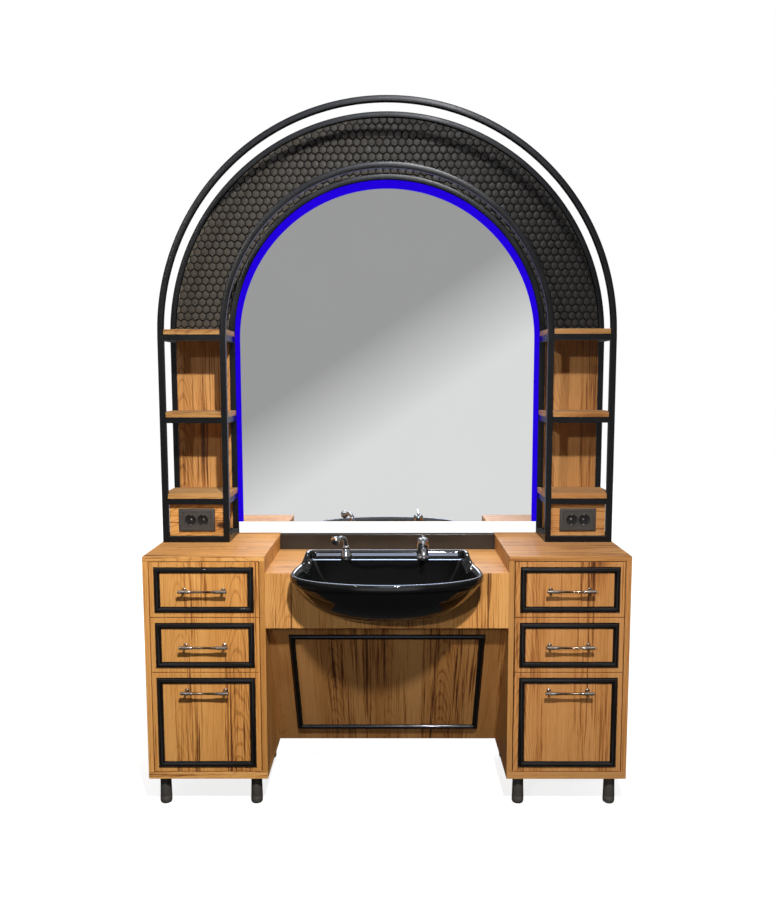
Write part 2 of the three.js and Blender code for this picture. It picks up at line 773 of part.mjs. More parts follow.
function mixerBody() {
  const profile = [
    [0, -SHANK_LENGTH],
    [SHANK_RADIUS, -SHANK_LENGTH],
    [SHANK_RADIUS, 0],
    [MIXER_FLANGE_RADIUS, 0],
    [MIXER_FLANGE_RADIUS, MIXER_FLANGE / 2],
    [MIXER_RADIUS, MIXER_FLANGE],
    [MIXER_RADIUS, MIXER_HEIGHT],
    [0, MIXER_HEIGHT],
  ];
  const spout = new THREE.QuadraticBezierCurve3(
    new THREE.Vector3(0, 0, SPOUT_HEIGHT - SPOUT_RISE),
    new THREE.Vector3(0, -SPOUT_REACH, SPOUT_HEIGHT + SPOUT_RISE),
    new THREE.Vector3(0, -SPOUT_REACH, SPOUT_HEIGHT - SPOUT_DROP),
  );
  return join(turned(profile, 20), bar(spout, SPOUT_RADIUS, 8, 12)).translate(
    MIXER_X,
    TAP_Y,
    TAP_Z,
  );
}

function mixerCap() {
  const profile = [
    [0, 0],
    [MIXER_RADIUS, 0],
    [MIXER_RADIUS, CAP_HEIGHT * 0.6],
    [MIXER_RADIUS * 0.85, CAP_HEIGHT],
    [0, CAP_HEIGHT],
  ];
  return turned(profile, 20).translate(MIXER_X, TAP_Y, CAP_Z);
}

// The lever lies on the cap, lifts about its rear lower edge and narrows towards its tip.
function mixerLever() {
  const rear = MIXER_RADIUS * 0.8;
  const tip = rear - LEVER_LENGTH;
  const side = new THREE.Shape();
  side.moveTo(rear, 0);
  side.lineTo(rear, LEVER_THICKNESS);
  side.lineTo(0, LEVER_THICKNESS + LEVER_CREST);
  side.lineTo(tip, LEVER_THICKNESS + LEVER_LIFT);
  side.lineTo(tip, LEVER_THICKNESS);
  side.lineTo(-MIXER_RADIUS, 0);
  const slab = new THREE.ExtrudeGeometry(side, { depth: LEVER_WIDTH, bevelEnabled: false });
  const axes = new THREE.Matrix4().makeBasis(
    new THREE.Vector3(0, 1, 0),
    new THREE.Vector3(0, 0, 1),
    new THREE.Vector3(1, 0, 0),
  );
  return slab.applyMatrix4(axes).translate(MIXER_X - LEVER_WIDTH / 2, TAP_Y, LEVER_Z);
}

function showerHolder() {
  const bore = SPRAY_SHANK_RADIUS + SEAT_GAP;
  const profile = [
    [bore, -SHANK_LENGTH],
    [SHANK_RADIUS, -SHANK_LENGTH],
    [SHANK_RADIUS, 0],
    [HOLDER_RADIUS, 0],
    [HOLDER_RADIUS, HOLDER_HEIGHT * 0.3],
    [HOLDER_TOP_RADIUS, HOLDER_HEIGHT],
    [bore, HOLDER_HEIGHT],
    [bore, -SHANK_LENGTH],
  ];
  return turned(profile, 16).translate(SHOWER_X, TAP_Y, TAP_Z);
}

// The hand shower hangs in its holder by a collar; its neck turns to the left and to the front.
function handShower() {
  const seat = HOLDER_HEIGHT + SEAT_GAP;
  const collarTop = seat + SPRAY_COLLAR;
  const profile = [
    [0, seat - SPRAY_SHANK_LENGTH],
    [SPRAY_SHANK_RADIUS, seat - SPRAY_SHANK_LENGTH],
    [SPRAY_SHANK_RADIUS, seat],
    [SPRAY_COLLAR_RADIUS, seat],
    [SPRAY_COLLAR_RADIUS, collarTop - SPRAY_COLLAR_CHAMFER],
    [SPRAY_NECK_RADIUS, collarTop],
    [0, collarTop],
  ];
  const top = collarTop + SPRAY_RISE;
  const sideways = SPRAY_REACH * Math.SQRT1_2;
  const neck = new THREE.QuadraticBezierCurve3(
    new THREE.Vector3(0, 0, collarTop - SPRAY_NECK_SINK),
    new THREE.Vector3(0, 0, top + SPRAY_CREST),
    new THREE.Vector3(-sideways, -sideways, top - SPRAY_NECK_SINK),
  );
  const face = [
    [0, -SPRAY_HEAD],
    [SPRAY_HEAD_RADIUS, -SPRAY_HEAD],
    [SPRAY_HEAD_RADIUS, -SPRAY_HEAD * 0.6],
    [SPRAY_NECK_RADIUS * 1.2, 0],
    [0, SPRAY_NECK_RADIUS * 0.6],
  ];
  const down = neck.getTangent(1).negate();
  const turn = new THREE.Quaternion().setFromUnitVectors(new THREE.Vector3(0, 0, 1), down);
  const head = turned(face, 16).applyQuaternion(turn).translate(-sideways, -sideways, top - SPRAY_NECK_SINK);
  return join(turned(profile, 16), bar(neck, SPRAY_NECK_RADIUS, 8, 12), head).translate(
    SHOWER_X,
    TAP_Y,
    TAP_Z,
  );
}

function addPlumbing() {
  addPart("waste_trap", wasteTrap(), CHROME);
  addPart("mixer_body", mixerBody(), CHROME);
  addPart("mixer_cap", mixerCap(), CHROME);
  addPart("mixer_lever", mixerLever(), CHROME);
  addPart("shower_holder", showerHolder(), CHROME);
  addPart("hand_shower", handShower(), CHROME);
}

const shelfUndersides = Array.from(
  { length: SHELF_COUNT },
  (_, i) => COUNTER_Z + FIRST_SHELF + i * SHELF_PITCH,
);

// A welded tower of four posts, tied by tubes at its foot and under each shelf.
function towerFrame(side) {
  const posts = [];
  const ties = [];
  const fronts = [TOWER_FRONT, TOWER_REAR - TUBE];
  const inners = [TOWER_IN, TOWER_OUT - TUBE];
  for (const y of fronts) {
    for (const x of inners) {
      posts.push(sideBoard(side, x, x + TUBE, y, y + TUBE, COUNTER_Z, SPRING_Z));
    }
  }
  const tubeTops = [COUNTER_Z + TUBE, ...shelfUndersides];
  tubeTops.forEach((top, level) => {
    const low = top - TUBE;
    const crossing = level === 0 ? fronts : [TOWER_FRONT];
    crossing.forEach((y) => ties.push(sideBoard(side, TOWER_IN, TOWER_OUT, y, y + TUBE, low, top)));
    inners.forEach((x) =>
      ties.push(sideBoard(side, x, x + TUBE, TOWER_FRONT, TOWER_REAR, low, top)),
    );
  });
  return join(posts[0], ...posts.slice(1), ...ties);
}

// The wooden insert of a tower: notched shelves, a back and the board that holds the socket.
function shelfInsert(side) {
  const notch = TUBE + NOTCH_GAP;
  const inX = TOWER_IN + TUBE + SEAT_GAP;
  const outX = TOWER_OUT - TUBE - SEAT_GAP;
  const lowZ = COUNTER_Z + TUBE + SEAT_GAP;
  const shelves = shelfUndersides.map((z) => {
    const plate = sideBoard(
      side,
      TOWER_IN,
      TOWER_OUT,
      TOWER_FRONT,
      TOWER_REAR,
      z,
      z + SHELF_BOARD,
    );
    const corners = [TOWER_FRONT - NOTCH_GAP, TOWER_REAR - TUBE - NOTCH_GAP].flatMap((y) =>
      [TOWER_IN - NOTCH_GAP, TOWER_OUT - notch].map((x) =>
        sideBoard(side, x, x + notch + NOTCH_GAP, y, y + notch + NOTCH_GAP, z - TUBE, z + 2 * TUBE),
      ),
    );
    return cut(plate, ...corners);
  });
  const backY = TOWER_REAR - TOWER_BACK_INSET - TOWER_BACK;
  const back = sideBoard(side, inX, outX, backY, backY + TOWER_BACK, lowZ, SPRING_Z + SHELF_BOARD / 2);
  const faceY = TOWER_FRONT + TUBE + SEAT_GAP;
  const faceTop = shelfUndersides[0] + SHELF_BOARD / 2;
  const face = sideBoard(side, inX, outX, faceY, faceY + TOWER_BACK, lowZ, faceTop);
  const { x, z } = socketCentre(side);
  const halfWidth = SOCKET_BOX_WIDTH / 2 + SEAT_GAP;
  const halfHeight = SOCKET_BOX_HEIGHT / 2 + SEAT_GAP;
  const hole = board(
    [x - halfWidth, faceY - TOWER_BACK, z - halfHeight],
    [x + halfWidth, faceY + 2 * TOWER_BACK, z + halfHeight],
  );
  return join(cut(face, hole), back, ...shelves);
}

function socketCentre(side) {
  const z = (COUNTER_Z + TUBE + shelfUndersides[0] - TUBE) / 2;
  return { x: (side * (TOWER_IN + TOWER_OUT)) / 2, z };
}

// A double socket: a plate in front of its board, a box behind it and two round wells.
function socket(side) {
  const { x, z } = socketCentre(side);
  const plateBack = TOWER_FRONT + TUBE;
  const plateFront = plateBack - PLATE_THICKNESS;
  const plate = board(
    [x - PLATE_WIDTH / 2, plateFront, z - PLATE_HEIGHT / 2],
    [x + PLATE_WIDTH / 2, plateBack, z + PLATE_HEIGHT / 2],
  );
  const box = board(
    [x - SOCKET_BOX_WIDTH / 2, plateBack - PLATE_THICKNESS / 2, z - SOCKET_BOX_HEIGHT / 2],
    [x + SOCKET_BOX_WIDTH / 2, plateBack + SOCKET_BOX_DEPTH, z + SOCKET_BOX_HEIGHT / 2],
  );
  const wells = [-1, 1].map((end) =>
    rod(WELL_RADIUS, 2 * WELL_DEPTH, 20)
      .rotateX(-Math.PI / 2)
      .translate(x + (end * WELL_SPACING) / 2, plateFront - WELL_DEPTH, z),
  );
  return cut(join(plate, box), ...wells);
}

// A half ring standing on the spring line.
function archShape(outer, inner, rise = 0) {
  const outerStart = Math.asin(rise / outer);
  const innerStart = Math.asin(rise / inner);
  const shape = new THREE.Shape();
  shape.absarc(0, SPRING_Z, outer, outerStart, Math.PI - outerStart, false);
  shape.absarc(0, SPRING_Z, inner, Math.PI - innerStart, innerStart, true);
  return shape;
}

// An arch on straight legs: the outline of the mirror, or of the light round it.
function mirrorShape(outer, springZ, inner = 0) {
  const footZ = COUNTER_Z + MIRROR_GAP;
  const shape = new THREE.Shape();
  shape.moveTo(outer, footZ);
  shape.lineTo(outer, springZ);
  shape.absarc(0, springZ, outer, 0, Math.PI, false);
  shape.lineTo(-outer, footZ);
  if (inner > 0) {
    shape.lineTo(-inner, footZ);
    shape.absarc(0, MIRROR_SPRING_Z, inner, Math.PI, 0, true);
    shape.lineTo(inner, footZ);
  }
  return shape;
}

function addTowers() {
  for (const [name, side] of [
    ["left", -1],
    ["right", 1],
  ]) {
    addPart(`${name}_tower_frame`, towerFrame(side), BLACK_STEEL);
    addPart(`${name}_shelf_insert`, shelfInsert(side), OAK);
    addPart(`${name}_socket`, socket(side), GREY_PLASTIC);
  }
}

function addArch() {
  for (const [name, y] of [
    ["front", TOWER_FRONT],
    ["rear", TOWER_REAR - TUBE],
  ]) {
    const outer = archShape(TOWER_OUT, TOWER_OUT - TUBE);
    const inner = archShape(TOWER_IN + TUBE, TOWER_IN);
    addPart(`${name}_outer_arch`, standing(outer, y, y + TUBE), BLACK_STEEL);
    addPart(`${name}_inner_arch`, standing(inner, y, y + TUBE), BLACK_STEEL);
  }
  const rear = TOWER_REAR - REAR_INSET;
  const panel = archShape(
    TOWER_OUT - TUBE - ARCH_GAP,
    TOWER_IN + TUBE + ARCH_GAP,
    SHELF_BOARD + SEAT_GAP,
  );
  addPart("arch_panel", standing(panel, rear - PANEL_THICKNESS, rear), LEATHER);
  const lightOut = TOWER_IN - ARCH_GAP;
  const lightIn = lightOut - LIGHT_WIDTH;
  addPart(
    "mirror_light",
    standing(mirrorShape(lightOut, SPRING_Z, lightIn), rear - LIGHT_THICKNESS, rear),
    BLUE_LIGHT,
  );
  addPart(
    "mirror",
    standing(mirrorShape(lightIn - SEAT_GAP, MIRROR_SPRING_Z), rear - MIRROR_THICKNESS, rear),
    MIRROR,
  );
}

addCabinet("left", -1);
addCabinet("right", 1);
addPart("rear_panel", rearPanel(), MELAMINE);
addWashBay();
addPlumbing();
addTowers();
addArch();

// The origin lies on the floor, midway between the basin's front and the rear board.
station.position.y = (BASIN_REACH - CABINET_DEPTH) / 2;

export default station;
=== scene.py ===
"""Looks of the salon station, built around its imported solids. Metres, +Z up, working face along -Y."""

from math import atan2, copysign, cos, hypot, pi, radians, sin, sqrt

import bmesh
import bpy
from mathutils import Matrix, Vector

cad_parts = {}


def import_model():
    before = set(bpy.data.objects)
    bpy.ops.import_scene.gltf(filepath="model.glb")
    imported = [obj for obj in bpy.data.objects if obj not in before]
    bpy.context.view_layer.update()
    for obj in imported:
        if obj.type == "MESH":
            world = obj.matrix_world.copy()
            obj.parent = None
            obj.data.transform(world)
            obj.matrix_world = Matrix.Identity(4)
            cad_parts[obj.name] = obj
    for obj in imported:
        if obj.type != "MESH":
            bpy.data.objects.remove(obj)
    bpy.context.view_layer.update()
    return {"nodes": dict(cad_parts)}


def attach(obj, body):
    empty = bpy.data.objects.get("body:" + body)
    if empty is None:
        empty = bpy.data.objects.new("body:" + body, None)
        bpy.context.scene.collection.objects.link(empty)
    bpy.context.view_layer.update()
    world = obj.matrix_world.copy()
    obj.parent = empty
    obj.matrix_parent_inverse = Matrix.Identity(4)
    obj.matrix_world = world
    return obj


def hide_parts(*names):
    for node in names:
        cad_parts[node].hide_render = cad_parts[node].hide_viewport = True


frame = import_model()
NODES = frame["nodes"]
SCENE = bpy.context.scene
ROOT = "station"
SIDES = {"left": -1, "right": 1}
ROWS = ("top", "middle", "bottom")

# The solids' front plane lies at this y, and sizes below are in millimetres from it.
FRONT_Y = -0.1125
MM = 0.001


def at(x, y, z):
    """A point given in millimetres from the cabinets' front plane, in the row frame."""
    return Vector((x * MM, y * MM + FRONT_Y, z * MM))


def placed(x, y, z):
    """A move to a point given in the same way."""
    return Matrix.Translation(at(x, y, z))


# Shapes


def circle(radius, count, start=0.0):
    """Points in even steps round a circle, the first of them some steps past the first axis."""
    turns = [2 * pi * (i + start) / count for i in range(count)]
    return [(radius * cos(a), radius * sin(a)) for a in turns]


SAME_POINT = 1e-6
WELDED = 1e-5
CORNERS = ((-1, -1), (1, -1), (1, 1), (-1, 1))
BEVEL_ANGLE = 40
BEVEL_STEPS = 2


class Shape:
    """Corners and faces that become one piece."""

    def __init__(self):
        self.verts = []
        self.faces = []

    def add(self, verts, faces, move=None):
        start = len(self.verts)
        self.verts += [move @ Vector(v) if move else Vector(v) for v in verts]
        self.faces += [tuple(start + i for i in face) for face in faces]
        return self

    def box(self, low, high):
        """A board between two opposite corners in millimetres from the front plane."""
        xs, ys, zs = map(sorted, zip(low, high))
        corners = [at(x, y, z) for z in zs for y in ys for x in xs]
        faces = [(0, 2, 3, 1), (4, 5, 7, 6), (0, 1, 5, 4), (2, 6, 7, 3), (0, 4, 6, 2), (1, 3, 7, 5)]
        return self.add(corners, faces)

    def skin(self, rings, loop=False, caps=True, move=None):
        """A skin over rings of equally many points."""
        count = len(rings[0])
        verts = [p for ring in rings for p in ring]
        faces = []
        bands = len(rings) if loop else len(rings) - 1
        for r in range(bands):
            here, there = r * count, (r + 1) % len(rings) * count
            for i in range(count):
                j = (i + 1) % count
                faces.append((here + i, here + j, there + j, there + i))
        if caps and not loop:
            last = (len(rings) - 1) * count
            faces.append(tuple(reversed(range(count))))
            faces.append(tuple(range(last, last + count)))
        return self.add(verts, faces, move)

    def lathe(self, profile, move, segments=40, closed=False):
        """A turned form about Z: the profile holds (radius, height) in millimetres, and may be closed."""
        rings = [
            [Vector((x, y, height * MM)) for x, y in circle(r * MM, segments)] for r, height in profile
        ]
        return self.skin(rings, loop=closed, caps=False, move=move)

    def tube(self, path, radii, sides=24):
        """A round bar along points in metres, with a radius in millimetres at each of them."""
        rings = []
        turn = Vector((1, 0, 0))
        for i, p in enumerate(path):
            along = (path[min(i + 1, len(path) - 1)] - path[max(i - 1, 0)]).normalized()
            turn = (turn - along * turn.dot(along)).normalized()
            side = along.cross(turn)
            rings.append([p + turn * x + side * y for x, y in circle(radii[i] * MM, sides)])
        return self.skin(rings)


def add_object(name, data):
    obj = bpy.data.objects.new(name, data)
    SCENE.collection.objects.link(obj)
    return obj


def piece(name, shape, material, stands_for=(), body=ROOT, sharp=35, bevel=0.0):
    """One visible piece on a body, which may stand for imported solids."""
    mesh = bpy.data.meshes.new(name)
    mesh.from_pydata([tuple(v) for v in shape.verts], [], shape.faces)
    work = bmesh.new()
    work.from_mesh(mesh)
    bmesh.ops.remove_doubles(work, verts=work.verts, dist=SAME_POINT)
    bmesh.ops.recalc_face_normals(work, faces=work.faces)
    work.to_mesh(mesh)
    work.free()
    mesh.materials.append(material)
    mesh.shade_smooth()
    mesh.set_sharp_from_angle(angle=radians(sharp))
    obj = add_object(name, mesh)
    if bevel:
        soften(obj, bevel)
    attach(obj, body)
    if stands_for:
        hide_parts(*stands_for)
    return obj


def soften(obj, width):
    """Rounds an object's edges by a width in millimetres."""
    rounding = obj.modifiers.new("edges", "BEVEL")
    rounding.width = width * MM
    rounding.segments = BEVEL_STEPS
    rounding.limit_method = "ANGLE"
    rounding.angle_limit = radians(BEVEL_ANGLE)


def dress(node, material, edges=0.0):
    """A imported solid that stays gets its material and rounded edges."""
    obj = NODES[node]
    obj.data.materials.clear()
    obj.data.materials.append(material)
    if edges:
        weld = obj.modifiers.new("weld", "WELD")
        weld.merge_threshold = WELDED
        soften(obj, edges)
    return obj


def bezier(a, b, c, steps):
    """Points of a curve with one control point."""
    shares = [i / steps for i in range(steps + 1)]
    return [a * (1 - t) ** 2 + b * 2 * t * (1 - t) + c * t**2 for t in shares]


# Materials

LINEAR = "LINEAR"


class Graph:
    """A node tree, with short ways to add to it."""

    def __init__(self, tree):
        self.tree = tree

    def put(self, socket, value):
        """Links a socket to another one, or sets its value."""
        if isinstance(value, bpy.types.NodeSocket):
            self.tree.links.new(value, socket)
        else:
            socket.default_value = value

    def node(self, kind, inputs=(), **settings):
        """Adds a node, links or sets its inputs, given in turn or by key, and returns its outputs."""
        node = self.tree.nodes.new(kind)
        for key, value in settings.items():
            setattr(node, key, value)
        for key, value in inputs.items() if isinstance(inputs, dict) else enumerate(inputs):
            self.put(node.inputs[key], value)
        return node.outputs

    def split(self, vector):
        return self.node("ShaderNodeSeparateXYZ", [vector])

    def math(self, operation, a, b=0.0, c=0.0):
        return self.node("ShaderNodeMath", (a, b, c), operation=operation)[0]

    def times(self, *values):
        product = values[0]
        for value in values[1:]:
            product = self.math("MULTIPLY", product, value)
        return product

    def remap(self, value, low, high, to_low=0.0, to_high=1.0, ends="SMOOTHSTEP"):
        values = (value, low, high, to_low, to_high)
        return self.node("ShaderNodeMapRange", values, interpolation_type=ends)[0]

    def mix(self, factor, a, b):
        a, b = ((*colour, 1.0) if isinstance(colour, tuple) else colour for colour in (a, b))
        return self.node("ShaderNodeMix", {0: factor, 6: a, 7: b}, data_type="RGBA")[2]


class Shader(Graph):
    """A material, with the object's own coordinates."""

    def __init__(self, name):
        self.material = bpy.data.materials.new(name)
        self.material.use_nodes = True
        super().__init__(self.material.node_tree)
        self.bsdf = self.tree.nodes["Principled BSDF"]
        self.coords = self.node("ShaderNodeTexCoord")["Object"]

    def set(self, **values):
        """Sets or links the main shader's sockets, whose names are written with underscores."""
        for key, value in values.items():
            colour = isinstance(value, tuple)
            self.put(self.bsdf.inputs[key.replace("_", " ")], (*value, 1.0) if colour else value)
        return self.material

    def scaled(self, vector, scale, offset=(0, 0, 0)):
        return self.node("ShaderNodeVectorMath", (vector, scale, offset), operation="MULTIPLY_ADD")[0]

    def noise(self, vector, scale=1.0, detail=3.0, rough=0.5):
        values = {"Vector": vector, "Scale": scale, "Detail": detail, "Roughness": rough}
        return self.node("ShaderNodeTexNoise", values)[0]

    def cells(self, vector, scale):
        return self.node("ShaderNodeTexVoronoi", {"Vector": vector, "Scale": scale})

    def bump(self, height, strength, distance):
        values = {"Strength": strength, "Distance": distance, "Height": height}
        return self.node("ShaderNodeBump", values)[0]

    def ramp(self, value, stops):
        node = self.tree.nodes.new("ShaderNodeValToRGB")
        elements = node.color_ramp.elements
        while len(elements) < len(stops):
            elements.new(0.5)
        for element, (place, colour) in zip(elements, stops):
            element.position = place
            element.color = (*colour, 1.0)
        self.put(node.inputs[0], value)
        return node.outputs[0]

    def axes(self, order):
        """The object's coordinates with its axes in another order, or left out."""
        apart = self.split(self.coords)
        kept = {i: apart["XYZ".index(axis)] for i, axis in enumerate(order) if axis in "XYZ"}
        return self.node("ShaderNodeCombineXYZ", kept)[0]


# Oak, from its palest to its darkest tone. Its grain's scales are cells to the metre: across, into, along.
OAK_TONES = (
    (0.0, (0.80, 0.41, 0.128)),
    (0.30, (0.63, 0.278, 0.070)),
    (0.62, (0.36, 0.132, 0.029)),
    (1.0, (0.105, 0.036, 0.0095)),
)
OAK_ROUGH = (0.36, 0.52)
SEED_WAY = (1.0, 0.7, 1.3)
TONE_BASE = 0.13
PLANK, PLANK_SHIFT = 0.19, 3.0
KNOTS, KNOT_RARITY, KNOT_REACH, KNOT_CORE = (7.5, 7.5, 3.2), 0.72, 0.42, (0.11, 0.05)
KNOT_PUSH, KNOT_DARK = 0.014, 0.4
SWAY, SWAY_WIDTH = (5, 5, 1.5), 0.05
WANDER, WANDER_WIDTH = (11, 11, 3.4), 0.10
ARC_CURVE, ARC_RISE, ARC_STEP, ARC_EDGE = 38.0, 0.42, 0.024, (0.45, 1.0)
STREAKS, CLUSTERS, PORES = (170, 170, 3.2), (16, 16, 0.8), (300, 300, 9)
FIBRES, BANDS = (420, 420, 12), (10, 10, 0.35)
STREAK_ENDS, CLUSTER_ENDS, PORE_ENDS = (0.47, 0.66), (0.42, 0.62), (0.56, 0.70)
FIGURED, MIDDLE = (0.75, 1.15, 0.15, 1.0), (PLANK * 0.46, PLANK * 0.30)


def wood(name, axes, tint, seed=0.0, depth=0.35, figure=1.0):
    """Rustic oak laminate. The axes name what runs across, into and along the grain."""
    s = Shader(name)
    p = s.scaled(s.axes(axes), (1, 1, 1), tuple(seed * way for way in SEED_WAY))
    x, y, along = s.split(p)

    def grain(scale, detail=3.0, rough=0.5):
        return s.noise(s.scaled(p, scale), 1.0, detail, rough)

    def centred(value):
        return s.math("SUBTRACT", value, 0.5)

    knots = s.cells(s.scaled(p, KNOTS), 1.0)
    distance = knots["Distance"]
    chosen = s.node("ShaderNodeSeparateColor", [knots["Color"]])[0]
    has_knot = s.math("GREATER_THAN", chosen, KNOT_RARITY)
    near = s.times(s.remap(distance, KNOT_REACH, 0.0), has_knot)

    across = s.math("MULTIPLY_ADD", y, depth, x)
    across = s.math("MULTIPLY_ADD", centred(grain(SWAY)), SWAY_WIDTH, across)
    across = s.math("MULTIPLY_ADD", near, KNOT_PUSH, across)

    # Each plank has nested arcs along its middle, as a flat-sawn board does.
    plank = s.times(across, 1 / PLANK)
    index = s.math("FLOOR", plank)
    lot = s.node("ShaderNodeTexWhiteNoise", {"W": index}, noise_dimensions="1D")["Value"]
    t = s.times(centred(s.math("SUBTRACT", plank, index)), PLANK)
    arcs = s.times(t, t, ARC_CURVE)
    rise = s.math("MULTIPLY_ADD", along, ARC_RISE, s.times(lot, PLANK_SHIFT))
    wander = grain(WANDER)
    rings = s.math("ADD", s.math("ADD", arcs, rise), s.times(wander, WANDER_WIDTH))
    lines = s.remap(s.math("SINE", s.times(rings, 2 * pi / ARC_STEP)), *ARC_EDGE)
    figured = s.remap(s.math("ADD", lot, wander), *FIGURED)
    middle = s.remap(s.math("ABSOLUTE", t), *MIDDLE)
    cathedral = s.times(lines, figured, middle)

    streak = s.remap(grain(STREAKS, 5.0, 0.66), *STREAK_ENDS)
    cluster = s.remap(grain(CLUSTERS), *CLUSTER_ENDS)
    pores = s.remap(grain(PORES, 2.0, 0.6), *PORE_ENDS)
    fibre = grain(FIBRES, 3.0, 0.65)
    shares = (
        (cathedral, 0.20 * figure),
        (s.times(streak, cluster), 0.72 * figure),
        (streak, 0.16),
        (s.times(pores, s.remap(cluster, 0.0, 1.0, 0.35, 1.0)), 0.34),
        (centred(fibre), 0.55),
        (centred(grain(BANDS, 2.0)), 0.75),
        (centred(lot), 0.07),
        (near, 0.35),
    )
    tone = TONE_BASE
    for part, share in shares:
        tone = s.math("MULTIPLY_ADD", part, share, tone)
    stops = [(place, tuple(c * k for c, k in zip(shade, tint))) for place, shade in OAK_TONES]
    core = s.times(s.remap(distance, *KNOT_CORE), has_knot)
    return s.set(
        Base_Color=s.mix(core, s.ramp(tone, stops), tuple(c * KNOT_DARK for c in stops[-1][1])),
        Roughness=s.remap(fibre, 0.2, 0.8, *OAK_ROUGH),
        Specular_IOR_Level=0.22,
        Normal=s.bump(s.math("MULTIPLY_ADD", lines, -0.3, fibre), 0.22, 0.0005),
    )


MOTTLE = 0.25
WELL_PAINTED_SHADE = 0.12


def coated(name, colour, rough, grain_scale, bump, coat=0.0, level=0.5, sunk=None):
    """A painted, moulded or glazed surface with faint mottling. It may darken between two depths, as painted
    shade deeper in a recess.
    """
    s = Shader(name)
    mottle = s.noise(s.coords, 9.0, 4.0)
    fine = s.noise(s.coords, grain_scale, 2.0)
    pale = tuple(min(1.0, c * (1 + MOTTLE) + 0.002) for c in colour)
    deep = tuple(c * (1 - MOTTLE) for c in colour)
    shade = s.mix(mottle, deep, pale)
    if sunk:
        # Painted shade: the colour darkens deeper in the recess.
        depth = s.remap(s.split(s.coords)[1], *(y * MM + FRONT_Y for y in sunk))
        shade = s.mix(depth, shade, tuple(c * WELL_PAINTED_SHADE for c in colour))
    return s.set(
        Base_Color=shade,
        Roughness=s.remap(mottle, 0.25, 0.75, rough * 0.85, rough * 1.15),
        Specular_IOR_Level=level,
        Coat_Weight=coat,
        Coat_Roughness=0.08,
        Normal=s.bump(fine, bump, 0.0004),
    )


# The quilt's depths, those between which seam turns into face, and the stretch across which painted shade
# darkens its tone towards the right.
QUILT_BACK, QUILT_CROWN = 437.4, 431.2
SEAM_TO_FACE = (QUILT_BACK + 0.2, QUILT_CROWN + 1.6)
SHADE_FALL_ACROSS = (-0.55, 0.75)
SEAM_LIT_LEFT, SEAM_SHADED_RIGHT = (0.170, 0.140, 0.100), (0.052, 0.044, 0.034)
FACE_DARK, FACE_PALE, FACE_SHADED_RIGHT = (0.036, 0.029, 0.021), (0.076, 0.062, 0.045), (0.018, 0.0145, 0.011)


def leatherette(name):
    """Dark quilted leatherette: the flat seams between the cells are paler than their crowns. Painted shade
    darkens it towards the right.
    """
    s = Shader(name)
    x, y, _ = s.split(s.coords)
    mottle = s.noise(s.coords, 34.0, 4.0, 0.6)
    # Painted shade: the seams and faces darken towards the right.
    side = s.remap(x, *SHADE_FALL_ACROSS)
    face = s.mix(side, s.mix(mottle, FACE_DARK, FACE_PALE), FACE_SHADED_RIGHT)
    crown = s.remap(y, *(depth * MM + FRONT_Y for depth in SEAM_TO_FACE))
    return s.set(
        Base_Color=s.mix(crown, s.mix(side, SEAM_LIT_LEFT, SEAM_SHADED_RIGHT), face),
        Roughness=s.remap(mottle, 0.3, 0.7, 0.34, 0.50),
        Specular_IOR_Level=0.2,
        Normal=s.bump(s.cells(s.coords, 620.0)["Distance"], 0.3, 0.0005),
    )


def polished(name, colour, rough):
    """Plated metal with faint wiping marks."""
    s = Shader(name)
    marks = s.noise(s.scaled(s.coords, (60, 60, 340)))
    cloudy = s.noise(s.coords, 26.0)
    return s.set(
        Base_Color=s.mix(cloudy, tuple(c * 0.86 for c in colour), colour),
        Metallic=1.0,
        Roughness=s.remap(marks, 0.3, 0.7, rough * 0.7, rough * 1.4),
        Normal=s.bump(marks, 0.03, 0.0002),
    )


def silvered(name):
    """Mirror glass with a trace of haze."""
    s = Shader(name)
    haze = s.noise(s.coords, 3.0)
    return s.set(
        Base_Color=s.mix(haze, (0.93, 0.935, 0.94), (0.96, 0.965, 0.965)),
        Metallic=1.0,
        Roughness=s.remap(haze, 0.2, 0.8, 0.015, 0.04),
    )


def lit(name):
    """The blue diffuser, with faint unevenness."""
    s = Shader(name)
    ripple = s.noise(s.coords, 55.0, 2.0)
    return s.set(
        Base_Color=(0.0, 0.0, 0.0),
        Roughness=0.6,
        Specular_IOR_Level=0.0,
        Emission_Color=s.mix(ripple, (0.012, 0.0005, 0.62), (0.020, 0.001, 0.80)),
        Emission_Strength=1.0,
    )


def pair(name, axes, left, right, seeds, **more):
    """Oak for the left half and for the right half, each with its own tint; the tints are painted light and
    shade.
    """
    return {
        -1: wood(f"{name}_left", axes, left, seed=seeds[0], **more),
        1: wood(f"{name}_right", axes, right, seed=seeds[1], **more),
    }


# Painted light: the left half's oak is tinted lighter and the right half's darker and browner, as the light
# falls across the station.
LEFT_LIT_TINT, RIGHT_SHADED_TINT = (1.06, 1.05, 1.02), (0.84, 0.80, 0.88)
OAK = pair("oak", "XYZ", LEFT_LIT_TINT, RIGHT_SHADED_TINT, (3.1, 8.6))
